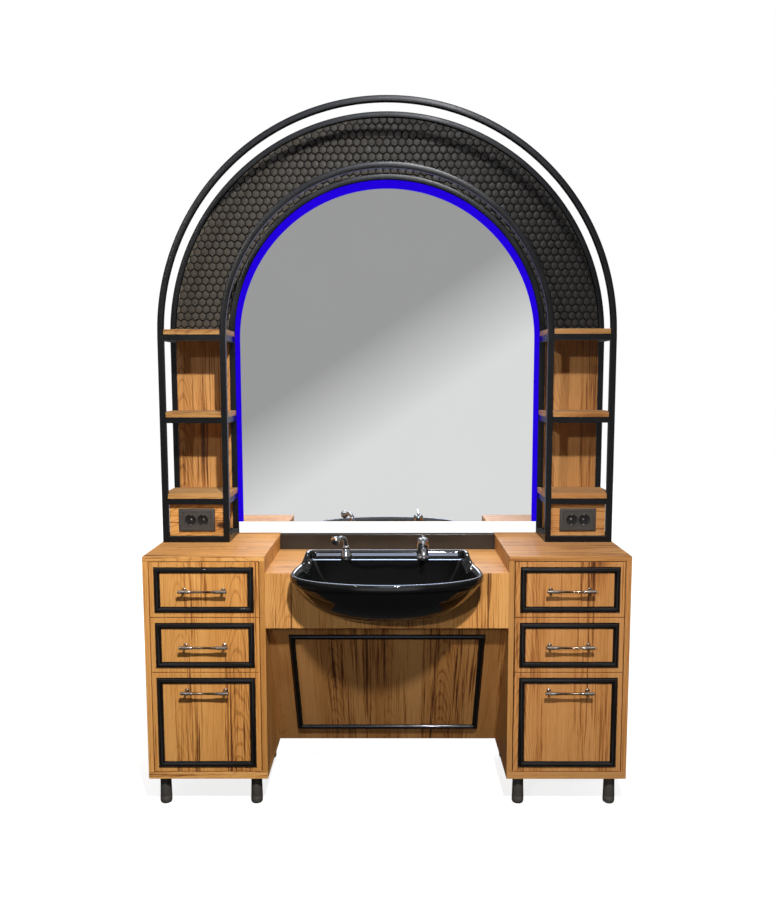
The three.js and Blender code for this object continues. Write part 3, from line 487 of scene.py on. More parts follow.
# Painted light and shade: the left outer sides and tops are tinted lighter, and the inner sides, shelves,
# tower backs and knee panel darker, as lit and shaded copies of one oak.
OAK_SIDE = pair("oak_side", "YXZ", (1.14, 1.16, 1.18), RIGHT_SHADED_TINT, (1.7, 6.4), figure=0.35)
OAK_INNER = pair("oak_inner", "YXZ", (0.80, 0.77, 0.72), (0.70, 0.68, 0.70), (4.4, 7.1), figure=0.5)
OAK_FLAT = pair("oak_flat", "YZX", (1.08, 1.12, 1.18), (0.80, 0.80, 0.92), (5.3, 2.9))
OAK_SHELF = pair("oak_shelf", "YZX", (0.72, 0.78, 0.88), (0.70, 0.70, 0.80), (6.8, 3.7))
OAK_BACK = pair("oak_back", "XYZ", (0.84, 0.88, 1.0), (0.68, 0.68, 0.78), (0.9, 5.9))
OAK_DECK = wood("oak_deck", "YZX", (0.95, 1.0, 1.15), seed=8.1)
OAK_APRON = wood("oak_apron", "XYZ", (0.95, 0.96, 1.0), seed=7.7)
OAK_KNEE = wood("oak_knee", "X0Z", (0.76, 0.74, 0.78), seed=9.4, depth=0.0, figure=1.25)
BIRCH = wood("drawer_box_board", "XZY", (0.98, 1.12, 1.6), seed=2.2, figure=0.3)
MELAMINE = wood("rear_board", "ZYX", (0.92, 0.98, 1.15), seed=1.4, figure=0.5)
STEEL_BLACK = coated("black_powder_coat", (0.0042, 0.0040, 0.0044), 0.28, 900.0, 0.2, level=0.20)
LACQUER = coated("black_lacquer", (0.0042, 0.0032, 0.0028), 0.14, 300.0, 0.05, level=0.34)
UPSTAND = coated("black_gloss_board", (0.031, 0.024, 0.018), 0.22, 300.0, 0.03, level=0.3)
GLAZE = coated("black_glaze", (0.003, 0.003, 0.0033), 0.045, 60.0, 0.015, coat=0.3)
GREY_TONE = (0.052, 0.047, 0.042)
GREY = coated("grey_plastic", GREY_TONE, 0.42, 1300.0, 0.25, level=0.35)
LEG_PLASTIC = coated("leg_plastic", (0.072, 0.064, 0.055), 0.40, 900.0, 0.3, level=0.4)
# The socket insert's wells darken with depth: painted shade.
SOCKET_GREY = coated("socket_plastic", GREY_TONE, 0.38, 1300.0, 0.25, level=0.35, sunk=(261.2, 266.0))
# Near black, as painted shade in the socket's pin holes; it also colours the backing boards behind the quilt
# and the mirror.
BACKING_AND_HOLE_SHADE = coated("backing_and_painted_hole_shade", (0.004, 0.004, 0.004), 0.6, 500.0, 0.1, level=0.2)
ZINC = polished("zinc_plate", (0.56, 0.56, 0.55), 0.32)
CHROME = polished("chrome", (0.78, 0.785, 0.79), 0.07)
NICKEL = polished("dark_nickel", (0.34, 0.30, 0.265), 0.20)
BRONZE = polished("dark_bronze", (0.16, 0.11, 0.075), 0.24)
QUILT = leatherette("quilted_leatherette")
MIRROR = silvered("mirror_silver")
GLOW = lit("blue_diffuser")

# Sizes shared by the pieces, in millimetres

HALF_WIDTH = 800
BAY_HALF = 400
CABINET_X = (HALF_WIDTH + BAY_HALF) / 2
BOARD = 18
FRONT_GAP = 2.5
LOW_HIGH_GRIP = {
    "top": (657.5, 841.5, 749.5),
    "middle": (471.0, 655.0, 563.0),
    "bottom": (128.5, 468.5, 408.5),
}
COUNTER = 860
SPRING = 1590
TOWER_IN, TOWER_OUT = 559, 795
TOWER_X = (TOWER_IN + TOWER_OUT) / 2
TOWER_FRONT, TOWER_REAR = 250, 450
TUBE = 20
SHELVES = (1016, 1303, 1590)
SHELF_BOARD = 18


# Cabinets

MOULDING = [(0, 0), (0, 2.6), (0.5, 3.3), (1.4, 3.6), (2.4, 3.4)]
MOULDING += [
    (10 - 7.4 * cos(radians(a)), 3.2 + 5.8 * sin(radians(a)))
    for a in range(6, 175, 8)
]
MOULDING += [(17.7, 3.4), (18.6, 3.6), (19.5, 3.3), (20, 2.6), (20, 0)]
BEAD_SHARP = 28


def moulding(width, height, move):
    """A mitred frame on y = 0, proud towards -Y."""
    rings = []
    for across, proud in MOULDING:
        x, z = width / 2 - across, height / 2 - across
        rings.append([Vector((cx * x * MM, -proud * MM, cz * z * MM)) for cx, cz in CORNERS])
    return Shape().skin(rings, loop=True, move=move)


HANDLE_OUT = 30
HANDLE_POST = 64
ROD_HALF = 39
SLEEVE = [
    (0, 38), (5.0, 38), (5.5, 39), (5.5, 46), (4.9, 46.6), (4.9, 48), (5.5, 48.6), (5.5, 71),
    (4.9, 71.6), (4.9, 73), (5.5, 73.6), (5.5, 78.4), (4.6, 79.6), (3.6, 80), (0, 80),
]
POST = [
    (0, 0.1), (7.5, 0.1), (7.5, 1.8), (6.6, 3.0), (4.6, 3.9), (4.0, 5.4), (4.0, 22), (4.6, 24.6), (0, 26),
]
ROD = [(0, -ROD_HALF), (4, -ROD_HALF), (4, -12), (3.6, -11), (3.6, 11), (4, 12), (4, ROD_HALF), (0, ROD_HALF)]
HANDLE_SIDES = 28


def out_of_front(x, y, z):
    """A move for turned forms that stand out of the front, towards -Y."""
    return placed(x, y, z) @ Matrix.Rotation(pi / 2, 4, "X")


def handle(name, centre, grip, body, node):
    along = placed(centre, -HANDLE_OUT, grip) @ Matrix.Rotation(pi / 2, 4, "Y")
    bar = Shape()
    for end in (-1, 1):
        bar.lathe([(r, end * h) for r, h in SLEEVE], along, HANDLE_SIDES)
        bar.lathe(POST, out_of_front(centre + end * HANDLE_POST, 0, grip), HANDLE_SIDES)
    piece(f"{name}_fittings", bar, NICKEL, (node,), body)
    piece(f"{name}_rod", Shape().lathe(ROD, along, HANDLE_SIDES), BRONZE, body=body)


BOX_HALF = 169
BOX_WALL = 12
BOX_REAR = 418
BOX_LOW, BOX_DROP, BOX_LIP = 12, 40, 0.4
SEAT = 0.1
BEAD_INSET = 32
RAIL_FRONT, RAIL_REAR = 20.0, 410.0
RAIL_RISE = 40
RAIL_FACE = 181.9
RAIL_BENDS = ((1.4, -17, 17), (5.6, -17, -14.6), (5.6, 14.6, 17))


def rail(shape, face, into, z):
    """A folded slide rail on a face, reaching six millimetres from it."""
    for reach, low, high in RAIL_BENDS:
        shape.box((face, RAIL_FRONT, z + low), (face + into * reach, RAIL_REAR, z + high))


def drawer(name, side, row):
    low, high, grip = LOW_HIGH_GRIP[row]
    centre = side * CABINET_X
    body = f"{name}_drawer_{row}"
    half = (HALF_WIDTH - BAY_HALF) / 2 - BOARD - FRONT_GAP
    front = Shape().box((centre - half, 0, low), (centre + half, BOARD, high))
    piece(f"{body}_front", front, OAK[side], (body,), body, bevel=0.8)
    floor, top = low + BOX_LOW, high - BOX_DROP
    inside = BOX_HALF - BOX_WALL
    x0, x1 = centre - inside, centre + inside
    box = Shape()
    for end in (-1, 1):
        outer, inner = centre + end * BOX_HALF, centre + end * inside
        box.box((outer, BOARD + SEAT, floor), (inner, BOX_REAR, top))
    for y in (BOARD + SEAT, BOX_REAR - BOX_WALL):
        box.box((x0, y, floor), (x1, y + BOX_WALL - SEAT, top))
    box.box((x0, BOARD + BOX_WALL, floor + BOX_LIP), (x1, BOX_REAR - BOX_WALL, floor + BOX_WALL))
    piece(f"{body}_box", box, BIRCH, body=body, bevel=0.6)
    rails = Shape()
    for end in (-1, 1):
        rail(rails, centre + end * (BOX_HALF + SEAT), end, floor + RAIL_RISE)
    piece(f"{body}_rails", rails, ZINC, body=body)
    bead = moulding(2 * half - BEAD_INSET, high - low - BEAD_INSET, placed(centre, -0.05, (low + high) / 2))
    replaced = (f"{name}_moulding_{row}",)
    piece(f"{name}_bead_{row}", bead, LACQUER, replaced, body, BEAD_SHARP)
    handle(f"{name}_pull_{row}", centre, grip, body, f"{name}_handle_{row}")


LEG = [
    (0, 0), (14, 0), (16.6, 0.8), (18.4, 2.6), (19.4, 5.2), (20, 9), (20, 24), (19.4, 25), (19.4, 26.5),
    (19.7, 27.5), (18.6, 70), (18.4, 84), (18.4, 94), (22, 96.6), (27, 97.2), (28, 98), (28, 101.6),
    (27.6, 101.95), (0, 101.95),
]
LEG_X = {"outer": HALF_WIDTH - 45, "inner": BAY_HALF + 45}
LEG_Y = {"front": 45, "rear": 397}
LEG_PLATE, LEG_SCREWS = 97.2, 24
SCREW = [(0, 0), (3.6, 0), (3.6, 0.5), (2.6, 1.5), (1.4, 2.0), (1.2, 1.2), (0, 1.1)]


def legs(name, side):
    shape, screws = Shape(), Shape()
    nodes = []
    for across, x in LEG_X.items():
        for along, y in LEG_Y.items():
            shape.lathe(LEG, placed(side * x, y, 0), 36)
            nodes.append(f"{name}_leg_{along}_{across}")
            for dx, dy in circle(LEG_SCREWS, 4, 0.5):
                down = placed(side * x + dx, y + dy, LEG_PLATE) @ Matrix.Rotation(pi, 4, "X")
                screws.lathe(SCREW, down, 10)
    piece(f"{name}_legs", shape, LEG_PLASTIC, nodes)
    piece(f"{name}_leg_screws", screws, ZINC)


def cabinet(name, side):
    dress(f"{name}_outer_side", OAK_SIDE[side], 0.8)
    dress(f"{name}_inner_side", OAK_INNER[side], 0.8)
    for part in ("top", "floor"):
        dress(f"{name}_{part}", OAK_FLAT[side], 0.8)
    rails = Shape()
    centre = side * CABINET_X
    for row in ROWS:
        drawer(name, side, row)
        for end in (-1, 1):
            rail(rails, centre + end * RAIL_FACE, -end, LOW_HIGH_GRIP[row][0] + BOX_LOW + RAIL_RISE)
    piece(f"{name}_cabinet_rails", rails, ZINC)
    legs(name, side)


# Wash bay

KNEE_TOP = (18.3, 640.0)
KNEE_FOOT = (330.0, 102.0)
KNEE_COVERED = 20
KNEE_BEAD = (660, 42, 62)
REAR_SCREWS = ((-780, -590, -420, -210, 210, 420, 590, 780), (112, 470, 828))


def wash_bay():
    for node, material in (
        ("deck", OAK_DECK), ("apron", OAK_APRON), ("knee_panel", OAK_KNEE), ("rear_panel", MELAMINE),
    ):
        dress(node, material, 0.6)
    dress("upstand", UPSTAND, 1.0)
    dress("waste_trap", CHROME)
    run, fall = KNEE_FOOT[0] - KNEE_TOP[0], KNEE_TOP[1] - KNEE_FOOT[1]
    slope = hypot(run, fall)
    width, above, below = KNEE_BEAD
    top = KNEE_COVERED * slope / fall + above
    height = slope - top - below
    share = (top + height / 2) / slope
    tilt = Matrix.Rotation(atan2(run, fall), 4, "X")
    bead = moulding(width, height, placed(0, KNEE_TOP[0] + run * share, KNEE_TOP[1] - fall * share) @ tilt)
    piece("knee_bead", bead, LACQUER, ("knee_moulding",), sharp=BEAD_SHARP)
    screws = Shape()
    for x in REAR_SCREWS[0]:
        for z in REAR_SCREWS[1]:
            screws.lathe(SCREW, placed(x, TOWER_REAR, z) @ Matrix.Rotation(-pi / 2, 4, "X"), 12)
    piece("rear_screws", screws, ZINC)


BASIN_POINTS, BASIN_STEPS = 160, 60
BASIN_HALF, BASIN_REAR_HALF, BASIN_WIDEST = 309, 283, -60
BASIN_FRONT, BASIN_REAR, BASIN_CORNER = -225, 225, 34
MOUTH_WALL, MOUTH_TURN, MOUTH_REAR = 26, 40, 148
LIP_ROUND, LIP_TURNS = 5, (0, 25, 50, 70, 90)
BASIN_DECK, BASIN_SKIRT, BASIN_UNDERSIDE, BASIN_FLOOR, LEDGE_Z = 804, 790, 650, 663, 820
# How the rim, the lip's underside, the overhang and the mouth change between two y, front to rear.
RIM_FRONT, RIM_RISE, RIM_ENDS = 13, 23, (60, 191)
LIP_FRONT, LIP_REAR, LIP_ENDS = -10, 0.3, (-70, -15)
OVERHANGS, OVERHANG_ENDS = (7, 22), (-40, 0)
LEDGE_DROP, MOUTH_DROPS, MOUTH_ENDS = 8, (16, 2), (20, MOUTH_REAR)
BOWL_STEPS, BOWL_SPREAD, BOWL_FALL = 22, 1.3, 3.4
UNDERSIDE_STEPS = 18
DRAIN_Y, DRAIN_RADIUS, DRAIN_FLAT = 100, 22, 36
TAP_HOLE = [(0, 600), (14.6, 600), (14.6, 900), (0, 900)]
PLUG = [(0, 0), (20, 0), (21, 0.6), (21, 1.6), (18, 2.8), (9, 3.9), (0, 4.2)]
PLUG_Z = 666.5


def smooth(low, high, value):
    t = min(1.0, max(0.0, (value - low) / (high - low)))
    return t * t * (3 - 2 * t)


def lerp(a, b, t):
    return a + (b - a) * t


def basin_outline():
    """The basin from above, anticlockwise from the middle of its front, in even steps."""
    half, rear_half, widest, corner = BASIN_HALF, BASIN_REAR_HALF, BASIN_WIDEST, BASIN_CORNER
    reach = widest - BASIN_FRONT
    corner_y = BASIN_REAR - corner
    steps = BASIN_STEPS
    path = [(half * s, widest - reach * c) for c, s in circle(1, 4 * steps)[:steps]]
    for t in (i / steps for i in range(steps)):
        y = lerp(widest, corner_y, 1.5 * t * (1 - t) + t**3)
        path.append((lerp(half, rear_half, smooth(0, 1, t)), y))
    for x, y in circle(corner, 2 * steps)[: steps // 2]:
        path.append((rear_half - corner + x, corner_y + y))
    path.append((rear_half - corner, BASIN_REAR))
    path += [(-x, y) for x, y in reversed(path)]
    gone = [0.0]
    for (ax, ay), (bx, by) in zip(path, path[1:] + path[:1]):
        gone.append(gone[-1] + hypot(bx - ax, by - ay))
    even = []
    k = 0
    for i in range(BASIN_POINTS):
        want = gone[-1] * i / BASIN_POINTS
        while gone[k + 1] < want:
            k += 1
        t = (want - gone[k]) / max(1e-9, gone[k + 1] - gone[k])
        a, b = path[k], path[(k + 1) % len(path)]
        even.append(Vector((lerp(a[0], b[0], t), lerp(a[1], b[1], t))))
    return even


def inset(outline, amount):
    """An outline moved inwards, by one amount or by one that depends on y."""
    moved = []
    for i, p in enumerate(outline):
        before, after = outline[i - 1], outline[(i + 1) % len(outline)]
        along = (after - before).normalized()
        d = amount(p.y) if callable(amount) else amount
        moved.append(Vector((p.x - along.y * d, p.y + along.x * d)))
    return moved


def raised(outline, height):
    """An outline at one height, or at one that depends on y."""
    return [at(p.x, p.y, height(p.y) if callable(height) else height) for p in outline]


def bowl(outline, top, floor, steps):
    """Rings from an outline down to a flat round the drain."""
    rings = []
    for k in range(1, steps + 1):
        share = (k / steps) ** BOWL_SPREAD
        drop = 1 - (1 - share) ** BOWL_FALL
        ring = []
        for p in outline:
            a = atan2(p.y - DRAIN_Y, p.x)
            x = lerp(p.x, DRAIN_FLAT * cos(a), share)
            y = lerp(p.y, DRAIN_Y + DRAIN_FLAT * sin(a), share)
            start = top(p.y) if callable(top) else top
            ring.append(at(x, y, lerp(start, floor, drop)))
        rings.append(ring)
    return rings


def drain_ring(outline, z):
    """A ring round the drain with a point for each point of the outline."""
    turns = [atan2(p.y - DRAIN_Y, p.x) for p in outline]
    return [at(DRAIN_RADIUS * cos(a), DRAIN_Y + DRAIN_RADIUS * sin(a), z) for a in turns]


def basin():
    lip = basin_outline()

    def rear(y):
        return smooth(*RIM_ENDS, y)

    def rim(y):
        return BASIN_DECK + RIM_FRONT + RIM_RISE * rear(y)

    def overhang(y):
        return lerp(*OVERHANGS, smooth(*OVERHANG_ENDS, y))

    def lip_bottom(y):
        return BASIN_DECK + lerp(LIP_FRONT, LIP_REAR, smooth(*LIP_ENDS, y))

    def ledge(y):
        return lerp(rim(y) - LEDGE_DROP, LEDGE_Z, rear(y))

    def mouth_z(y):
        return lerp(rim(y) - MOUTH_DROPS[0], LEDGE_Z - MOUTH_DROPS[1], smooth(*MOUTH_ENDS, y))

    body = inset(lip, overhang)
    mouth = []
    room = BASIN_REAR - MOUTH_WALL - MOUTH_TURN
    for p in inset(lip, MOUTH_WALL):
        past = max(0.0, p.y - MOUTH_TURN)
        y = MOUTH_TURN + past * (MOUTH_REAR - MOUTH_TURN) / room if past else p.y
        mouth.append(Vector((p.x, y)))
    rings = [drain_ring(lip, BASIN_UNDERSIDE)]
    rings += reversed(bowl(body, BASIN_SKIRT, BASIN_UNDERSIDE, UNDERSIDE_STEPS))
    rings += [raised(body, BASIN_SKIRT), raised(body, lip_bottom)]
    edges = [
        (2.2, lip_bottom),
        (0.6, lambda y: lip_bottom(y) + 1.3),
        (0.0, lambda y: lip_bottom(y) + 3.7),
    ]
    for turn in map(radians, LIP_TURNS):
        drop = LIP_ROUND * sin(turn) - LIP_ROUND
        edges.append((LIP_ROUND - LIP_ROUND * cos(turn), lambda y, d=drop: rim(y) + d))
    edges += [
        (10, rim),
        (14, lambda y: rim(y) - 1),
        (17, lambda y: lerp(rim(y) - 1, ledge(y), 0.5)),
        (20, ledge),
    ]
    rings += [raised(inset(lip, amount), height) for amount, height in edges]
    shoulder = [a.lerp(b, 0.6) for a, b in zip(inset(lip, 20), mouth)]
    rings.append(raised(shoulder, lambda y: lerp(ledge(y), mouth_z(y), 0.35)))
    rings.append(raised(mouth, mouth_z))
    rings += bowl(mouth, mouth_z, BASIN_FLOOR, BOWL_STEPS)
    rings.append(drain_ring(lip, BASIN_FLOOR))
    shape = Shape().skin(rings, loop=True)
    shell = piece("basin_shell", shape, GLAZE, ("basin",), sharp=60)
    holes = Shape()
    for x in (SHOWER_X, MIXER_X):
        holes.lathe(TAP_HOLE, placed(x, TAP_Y, 0))
    drill = piece("drill", holes, GLAZE)
    cutting = shell.modifiers.new("tap_holes", "BOOLEAN")
    cutting.operation = "DIFFERENCE"
    cutting.object = drill
    cutting.solver = "EXACT"
    done = bpy.data.meshes.new_from_object(shell.evaluated_get(bpy.context.evaluated_depsgraph_get()))
    shell.modifiers.clear()
    shell.data = done
    bpy.data.objects.remove(drill)
    piece("waste_plug", Shape().lathe(PLUG, placed(0, DRAIN_Y, PLUG_Z)), CHROME)


SHOWER_X, MIXER_X, TAP_Y = -142, 124, 180
TAP_Z = 820.3
CAP_Z = TAP_Z + 48.3
LEVER_Z = CAP_Z + 20.3
MIXER = [
    (0, -62), (14, -62), (14, 0), (23.4, 0), (24, 0.8), (24, 2.4), (23, 4.2), (20.6, 6), (19.4, 9),
    (18.8, 16), (18.8, 36), (19.4, 42), (20, 44), (20, 45), (19.2, 45.6), (19.2, 46.6), (20, 47.2),
    (20, 48), (0, 48),
]
SPOUT_REACH, SPOUT_START, SPOUT_RISE, SPOUT_END = 96, 28, 44, 14
SPOUT_RADIUS, SPOUT_TAPER, SPOUT_STEPS, SPOUT_SIDES = 9.6, 1.4, 24, 28
AERATOR = [(6.6, -2), (9.2, -2), (9.6, -1.2), (9.6, 7), (9.0, 8), (6.6, 8)]
CAP = [(0, 0), (20, 0), (20, 9), (19.6, 12), (18.4, 15.4), (16.6, 18), (14.4, 19.6), (12, 20), (0, 20)]
LEVER_STEPS, LEVER_SIDES = 14, 20
LEVER_REAR, LEVER_TIP, LEVER_HEEL = 16, -70, 0.19
HEEL_TOP, BLADE_TOP, LEVER_HALF, LEVER_WAIST = (6.4, 9), (8, 14), 7, 1.8
LEVER_FLAT, LEVER_SWEEP, LEVER_LIFT = 20, 50, 8
LEVER_ENDS, LEVER_ROUND = (1.6, 0.8), 0.6
HOLDER = [
    (8.3, -62), (14, -62), (14, 0), (18.6, 0), (19, 0.8), (19, 6), (18.4, 9), (16.8, 14), (15.2, 20),
    (14, 26), (13.4, 29), (12.6, 30), (8.3, 30),
]
SHOWER_SEAT = 30.3
SHOWER_STEM = [
    (0, -150), (7, -150), (8, -149), (8, 0), (11.6, 0), (12, 0.6), (12, 8.4), (11.2, 10), (9, 11.6), (8, 12),
    (0, 12),
]
SHOWER_HEAD = [
    (0, -20), (11, -20), (11.6, -19.2), (13.6, -19.2), (15.2, -18.8), (16, -17.4), (16, -13), (15, -9.6),
    (12.4, -4.4), (9.8, 0), (8, 2.6), (0, 4.6),
]
NECK_START, NECK_TOP, NECK_RADIUS = 38.3, 72.3, 8
NECK_REACH = 36 * sqrt(0.5)


def taps():
    def spot(y, z):
        return at(MIXER_X, TAP_Y + y, TAP_Z + z)

    body = Shape().lathe(MIXER, placed(MIXER_X, TAP_Y, TAP_Z))
    tip = spot(-SPOUT_REACH, SPOUT_END)
    path = bezier(spot(0, SPOUT_START), spot(-SPOUT_REACH, SPOUT_RISE), tip, SPOUT_STEPS)
    radii = [SPOUT_RADIUS - SPOUT_TAPER * smooth(0, SPOUT_STEPS, i) for i in range(len(path))]
    body.tube(path, radii, SPOUT_SIDES)
    body.lathe(AERATOR, Matrix.Translation(tip), SPOUT_SIDES, closed=True)
    piece("mixer_body_shell", body, CHROME, ("mixer_body",))

    dome = Shape().lathe(CAP, placed(MIXER_X, TAP_Y, CAP_Z))
    piece("mixer_cap_dome", dome, CHROME, ("mixer_cap",), "mixer_cap")

    rings = []
    for i in range(LEVER_STEPS + 1):
        t = i / LEVER_STEPS
        trim, thin = LEVER_ENDS if i in (0, LEVER_STEPS) else (0, 0)
        y = lerp(LEVER_REAR, LEVER_TIP, t)
        under = max(0.0, (-y - LEVER_FLAT) / LEVER_SWEEP) * LEVER_LIFT
        over = lerp(*BLADE_TOP, t) if t > LEVER_HEEL else lerp(*HEEL_TOP, t / LEVER_HEEL)
        half = LEVER_HALF - LEVER_WAIST * sin(pi * t) - trim
        middle, thick = (under + over) / 2, (over - under) / 2 - thin
        ring = []
        for c, s in circle(1, LEVER_SIDES):
            x = half * copysign(abs(c) ** LEVER_ROUND, c)
            z = middle + thick * copysign(abs(s) ** LEVER_ROUND, s)
            ring.append(at(MIXER_X + x, TAP_Y + y, LEVER_Z + z))
        rings.append(ring)
    piece("mixer_lever_blade", Shape().skin(rings), CHROME, ("mixer_lever",), "mixer_lever")

    cup = Shape().lathe(HOLDER, placed(SHOWER_X, TAP_Y, TAP_Z), closed=True)
    piece("shower_holder_cup", cup, CHROME, ("shower_holder",))
    stem = [(r, SHOWER_SEAT + height) for r, height in SHOWER_STEM]
    spray = Shape().lathe(stem, placed(SHOWER_X, TAP_Y, TAP_Z))
    start = at(SHOWER_X, TAP_Y, TAP_Z + NECK_START)
    bend = at(SHOWER_X, TAP_Y, TAP_Z + NECK_TOP + 6)
    end = at(SHOWER_X - NECK_REACH, TAP_Y - NECK_REACH, TAP_Z + NECK_TOP - 4)
    neck = bezier(start, bend, end, 20)
    spray.tube(neck, [NECK_RADIUS] * len(neck))
    turn = Vector((0, 0, 1)).rotation_difference((bend - end).normalized()).to_matrix().to_4x4()
    spray.lathe(SHOWER_HEAD, Matrix.Translation(end) @ turn, 32)
    piece("hand_shower_spray", spray, CHROME, ("hand_shower",), "hand_shower")


# Towers, arch and mirror


def shelf(side, z):
    """A shelf with a notch for each post of the tower."""
    notch = TUBE + 1
    x0, x1, y0, y1 = TOWER_IN, TOWER_OUT, TOWER_FRONT, TOWER_REAR
    xa, xb, ya, yb = x0 + notch, x1 - notch, y0 + notch, y1 - notch
    outline = [
        (xa, y0), (xb, y0), (xb, ya), (x1, ya), (x1, yb), (xb, yb),
        (xb, y1), (xa, y1), (xa, yb), (x0, yb), (x0, ya), (xa, ya),
    ]
    levels = (z + 0.05, z + SHELF_BOARD)
    return Shape().skin([[at(side * x, y, level) for x, y in outline] for level in levels])


SOCKET_Z = 938
SOCKET_SIDES = 72
SOCKET_STEP = 22
# The frame's corners in half width, half height and depth, from its rear outer edge to its rear inner edge.
SOCKET_FRAME = [
    (64, 40, 269.95), (64, 40, 265.0), (63, 39, 262.6), (61.4, 37.4, 262.0), (51.4, 29.4, 262.0),
    (50.4, 28.4, 263.4), (50.4, 28.4, 269.95),
]
SOCKET_REAR, SOCKET_EDGE, SOCKET_FACE = 302.0, 262.4, 261.4
SOCKET_HALF, SOCKET_HIGH, SOCKET_CHAMFER = 50.2, 28.2, (0.5, 0.6)
# The well's rings in radius and depth, from the collar round its mouth to the screw in its floor.
WELL = [
    (21.7, 261.4), (21.0, 260.2), (20.0, 260.2), (19.5, 261.4), (19.1, 277.4), (4.6, 277.6), (4.2, 276.6),
    (0.01, 276.6),
]
PIN_HOLE, PIN_X, PIN_Y = [(0, 0.0), (2.5, 0.0), (2.5, 0.25), (0, 0.25)], 9.5, 277.5
CONTACT_HALF, CONTACT_Z, CONTACT_Y = (2.2, 0.7), 17.6, (264, 276)
WELL_SCREW, WELL_SCREW_Y = [(0, 0), (2.4, 0), (2.4, 0.5), (1.6, 0.9), (0, 0.9)], 276.6


def socket(name, side):
    centre = side * TOWER_X
    plate, holes, metal = Shape(), Shape(), Shape()

    def box_ring(cx, x0, x1, high, y):
        """Points of a box's edge, seen in even turns from the well's middle."""
        ring = []
        for c, s in circle(1, SOCKET_SIDES, 0.5):
            t = min(((x1 if c > 0 else x0) - cx) / c, high / abs(s))
            ring.append(at(cx + c * t, y, SOCKET_Z + s * t))
        return ring

    rings = [
        [at(centre + w * cx, y, SOCKET_Z + h * cz) for cx, cz in CORNERS] for w, h, y in SOCKET_FRAME
    ]
    border = Shape().skin(rings, loop=True)
    for end in (-1, 1):
        cx = centre + end * SOCKET_STEP
        x0, x1 = sorted((centre, centre + end * SOCKET_HALF))
        rings = [box_ring(cx, x0, x1, SOCKET_HIGH, y) for y in (SOCKET_REAR, SOCKET_EDGE)]
        aside, down = SOCKET_CHAMFER
        rings.append(box_ring(cx, x0 + aside, x1 - aside, SOCKET_HIGH - down, SOCKET_FACE))
        for radius, y in WELL:
            rings.append([at(cx + x, y, SOCKET_Z + z) for x, z in circle(radius, SOCKET_SIDES, 0.5)])
        plate.skin(rings)
        for dx in (-PIN_X, PIN_X):
            holes.lathe(PIN_HOLE, out_of_front(cx + dx, PIN_Y, SOCKET_Z), 18)
        for z in (SOCKET_Z - CONTACT_Z, SOCKET_Z + CONTACT_Z):
            w, h = CONTACT_HALF
            metal.box((cx - w, CONTACT_Y[0], z - h), (cx + w, CONTACT_Y[1], z + h))
        metal.lathe(WELL_SCREW, out_of_front(cx, WELL_SCREW_Y, SOCKET_Z), 16)
    return [
        piece(f"{name}_socket_frame", border, GREY, (f"{name}_socket",), bevel=0.6),
        piece(f"{name}_socket_insert", plate, SOCKET_GREY),
        # The pin holes are dark discs: painted shade.
        piece(f"{name}_socket_pin_holes", holes, BACKING_AND_HOLE_SHADE),
        piece(f"{name}_socket_contacts", metal, ZINC),
    ]


FIT = 0.3
BACK_FRONT, BACK_REAR = 433, 443
SOCKET_BOARD_FRONT, SOCKET_BOARD_REAR = 270.3, 280.3
CUTOUT_HALF, CUTOUT_HIGH = 52.3, 28.3


def tower(name, side):
    """A shelf tower. The photograph's mirror shows no tower, so reflections leave it out."""
    unmirrored = [dress(f"{name}_tower_frame", STEEL_BLACK, 1.6)]
    x0, x1 = sorted((side * (TOWER_IN + TUBE + FIT), side * (TOWER_OUT - TUBE - FIT)))
    for level, z in enumerate(SHELVES):
        replaced = (f"{name}_shelf_insert",) if level == 0 else ()
        board, oak = shelf(side, z), OAK_SHELF[side]
        unmirrored.append(piece(f"{name}_shelf_{level + 1}", board, oak, replaced, bevel=0.8))
    low, high = COUNTER + TUBE + FIT, SHELVES[0]
    backs = Shape()
    starts = [low] + [z + SHELF_BOARD + SEAT for z in SHELVES[:-1]]
    for z0, z1 in zip(starts, SHELVES):
        backs.box((x0, BACK_FRONT, z0), (x1, BACK_REAR, z1))
    unmirrored.append(piece(f"{name}_tower_backs", backs, OAK_BACK[side], bevel=0.5))
    centre = side * TOWER_X
    outside = (x0, x1, low, high)
    cutout = (centre - CUTOUT_HALF, centre + CUTOUT_HALF, SOCKET_Z - CUTOUT_HIGH, SOCKET_Z + CUTOUT_HIGH)
    rings = []
    for y, edges in ((SOCKET_BOARD_FRONT, (outside, cutout)), (SOCKET_BOARD_REAR, (cutout, outside))):
        for w0, w1, z0, z1 in edges:
            rings.append([at(w0, y, z0), at(w1, y, z0), at(w1, y, z1), at(w0, y, z1)])
    board = Shape().skin(rings, loop=True)
    unmirrored.append(piece(f"{name}_socket_board", board, OAK_FLAT[side]))
    for obj in unmirrored + socket(name, side):
        obj.visible_glossy = False


ARCH_STEPS = 120
HALF_RING = circle(1, 2 * ARCH_STEPS)[: ARCH_STEPS + 1]
TUBE_CORNER, CORNER_STEPS = 1.8, 4


def tube_section():
    """Corners of the rounded square tube: across the ring, then along y."""
    flat = TUBE / 2 - TUBE_CORNER
    points = []
    for k, (sa, sb) in enumerate(((1, 1), (-1, 1), (-1, -1), (1, -1))):
        for i in range(CORNER_STEPS + 1):
            a = pi / 2 * (k + i / CORNER_STEPS)
            points.append((sa * flat + TUBE_CORNER * cos(a), sb * flat + TUBE_CORNER * sin(a)))
    return points


